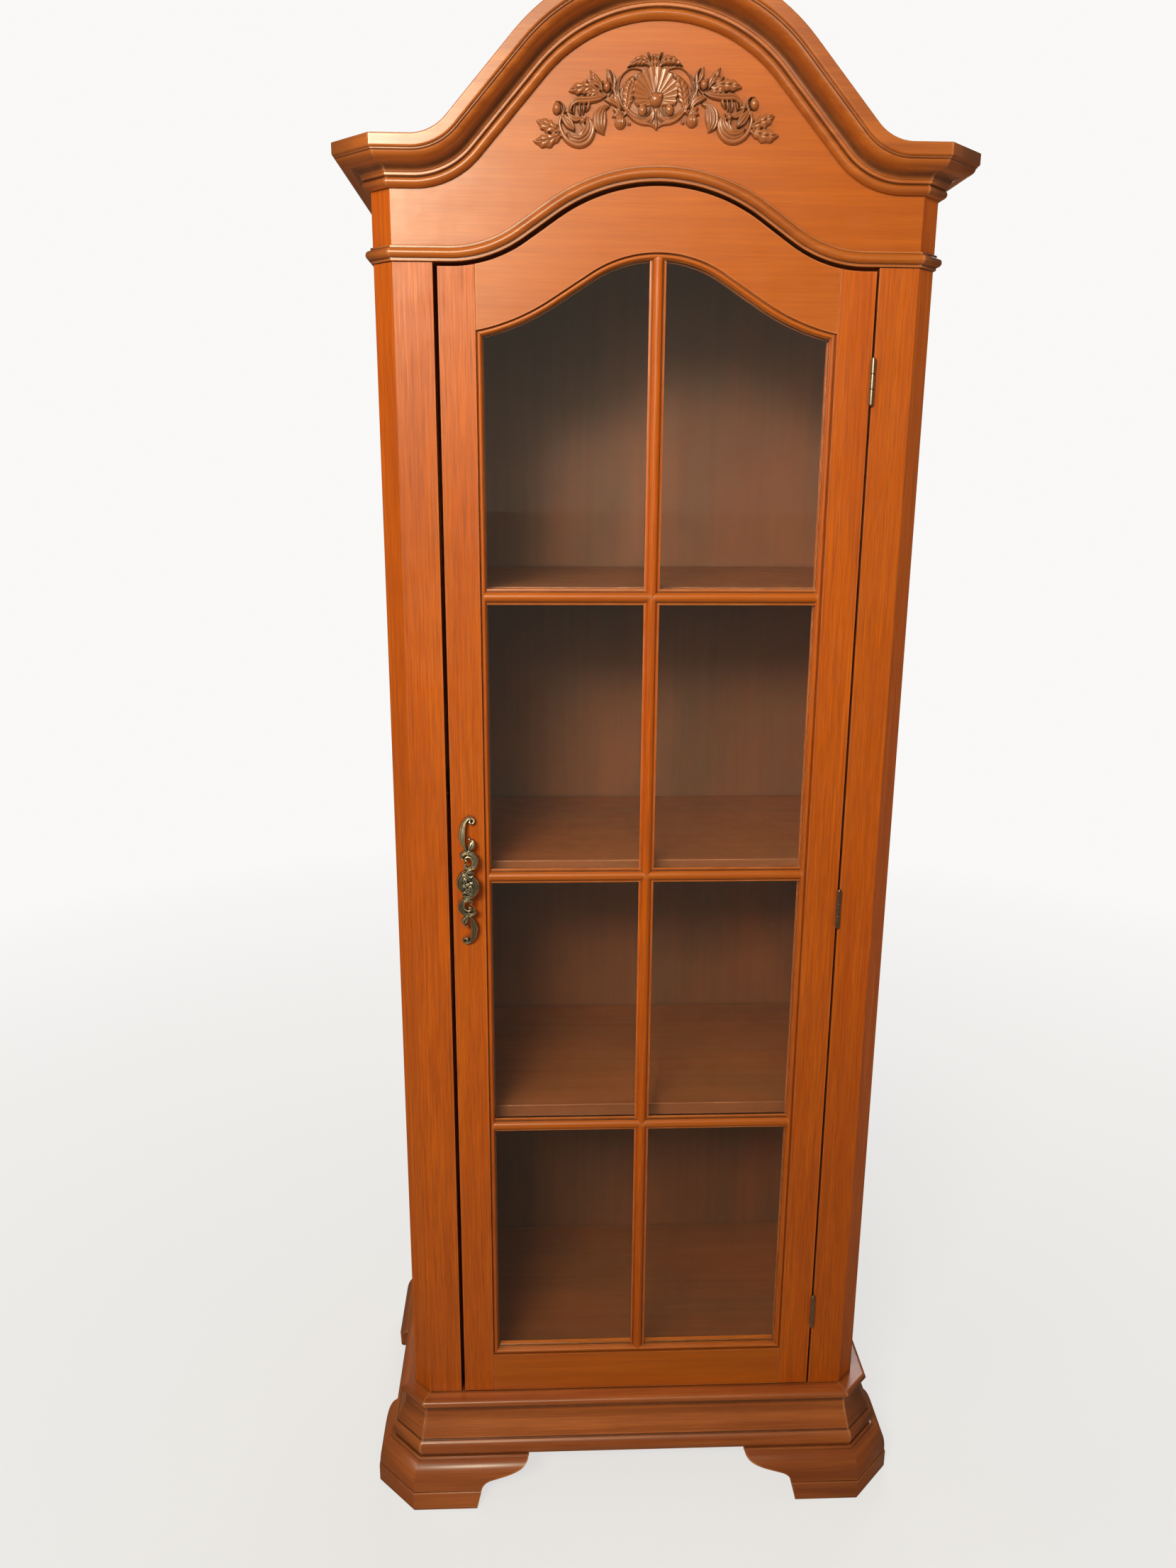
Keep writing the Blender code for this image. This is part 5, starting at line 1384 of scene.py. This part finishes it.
# Camera: place in metres, and yaw, pitch and roll in degrees.
CAMERA_PLACE = (-0.1362, -1.6205, 1.4801)
CAMERA_ANGLES = (2.33, -15.0, 0.35)
CAMERA_LENS = 27.15
CAMERA_SENSOR = 36.0


def bounced_light(n):
    """1 for a ray that comes off another surface, 0 for one seen straight or through the glass only."""
    ray = n.add("LightPath").outputs
    bounces = n.math("ADD", ray["Diffuse Depth"], ray["Glossy Depth"])
    through_glass = n.math("MULTIPLY", ray["Is Transmission Ray"], n.math("LESS_THAN", bounces, 0.5))
    reflected = n.math("SUBTRACT", ray["Is Glossy Ray"], through_glass)
    return n.math("MAXIMUM", ray["Is Diffuse Ray"], reflected)


def mirrored_light(n):
    """1 for a ray that comes off the glass as off a mirror. Such rays see an even, pale room."""
    ray = n.add("LightPath").outputs
    return n.math("MULTIPLY", ray["Is Singular Ray"], ray["Is Reflection Ray"])


def build_stage():
    """A wide pale floor. Far from the case it fades to the pale colour of the studio behind it.

    It throws little light back onto the case, so the low parts of the case stay deep in colour.
    """
    corners = [(x * FLOOR_HALF, y * FLOOR_HALF, 0) for x, y in ((-1, -1), (1, -1), (1, 1), (-1, 1))]
    mesh = bpy.data.meshes.new("floor")
    mesh.from_pydata(corners, [], [(0, 1, 2, 3)])
    obj = bpy.data.objects.new("floor", mesh)
    bpy.context.collection.objects.link(obj)
    n = Nodes("pale_floor")
    here = n.add("TexCoord").outputs["Object"]
    tint = n.mix(n.noise(here, 3.0, 4.0, 0.5), colour(0.78, 0.77, 0.75), colour(0.82, 0.81, 0.79))
    direct = n.math("SUBTRACT", 1.0, bounced_light(n))
    n.set(Base_Color=n.mix(direct, colour(0.16, 0.12, 0.085), tint), Roughness=0.7)
    away = n.add("VectorMath", {0: here}, operation="LENGTH").outputs["Value"]
    fade = n.span(away, 0.5, 3.0, 0.72, 1.0)
    glow = n.add("Emission", {"Color": STUDIO_COLOUR, "Strength": 1.0})
    glowing = n.math("MULTIPLY", fade, direct)
    both = n.add("MixShader", {0: glowing, 1: n.shader.outputs[0], 2: glow.outputs[0]})
    brighter = n.span(away, 0.4, 4.0, 0.20, 0.50)
    sheen = n.add("Emission", {"Color": MIRRORED_COLOUR, "Strength": brighter})
    whole = n.add("MixShader", {0: mirrored_light(n), 1: both.outputs[0], 2: sheen.outputs[0]})
    n.tree.links.new(whole.outputs[0], n.tree.nodes["Material Output"].inputs["Surface"])
    mesh.materials.append(n.mat)


def aim(obj, target):
    direction = Vector(target) - obj.location
    obj.rotation_mode = "QUATERNION"
    obj.rotation_quaternion = direction.to_track_quat("-Z", "Y")


def add_light(name, place_at, target, width, height, power, tint, spread):
    data = bpy.data.lights.new(name, "AREA")
    data.shape = "RECTANGLE"
    data.size = width
    data.size_y = height
    data.energy = power
    data.color = tint
    data.spread = math.radians(spread)
    obj = bpy.data.objects.new(name, data)
    bpy.context.collection.objects.link(obj)
    obj.location = place_at
    aim(obj, target)


def build_lights():
    """Four area lights, and a world that is pale to the eye and dim to the light that it gives."""
    for light in LIGHTS:
        add_light(*light)
    world = bpy.data.worlds.new("studio")
    bpy.context.scene.world = world
    world.use_nodes = True
    tree = world.node_tree
    seen = tree.nodes["Background"]
    seen.inputs["Color"].default_value = STUDIO_COLOUR
    n = Nodes(tree=tree)
    room = n.add("Background", {"Color": ROOM_COLOUR, "Strength": ROOM_STRENGTH})
    mirrored = n.add("Background", {"Color": MIRRORED_COLOUR, "Strength": MIRRORED_STRENGTH})
    both = n.add("MixShader", {0: bounced_light(n), 1: seen.outputs[0], 2: room.outputs[0]})
    whole = n.add("MixShader", {0: mirrored_light(n), 1: both.outputs[0], 2: mirrored.outputs[0]})
    tree.links.new(whole.outputs[0], tree.nodes["World Output"].inputs["Surface"])


def build_camera():
    """Camera at the viewing angle of the reference view: a little left of centre, tilted down."""
    yaw, pitch, roll = (math.radians(angle) for angle in CAMERA_ANGLES)
    forward = Vector((math.sin(yaw) * math.cos(pitch), math.cos(yaw) * math.cos(pitch), math.sin(pitch)))
    level_right = Vector((math.cos(yaw), -math.sin(yaw), 0.0))
    level_up = level_right.cross(forward)
    right = math.cos(roll) * level_right + math.sin(roll) * level_up
    up = -math.sin(roll) * level_right + math.cos(roll) * level_up
    data = bpy.data.cameras.new("camera")
    data.sensor_width = CAMERA_SENSOR
    data.lens = CAMERA_LENS
    obj = bpy.data.objects.new("camera", data)
    bpy.context.collection.objects.link(obj)
    rotation = Matrix((right, up, -forward)).transposed().to_4x4()
    obj.matrix_world = Matrix.Translation(CAMERA_PLACE) @ rotation
    bpy.context.scene.camera = obj


# ---------------------------------------------------------------- build

build_mouldings()
build_carcass()
build_frieze()
build_feet()
build_stiles()
build_top_rail()
build_bottom_rail()
build_bars()
build_glazing()
build_carving()
build_pull()
build_hinges()
build_catch()
build_stage()
build_lights()
build_camera()
bpy.context.scene.view_settings.view_transform = "Standard"
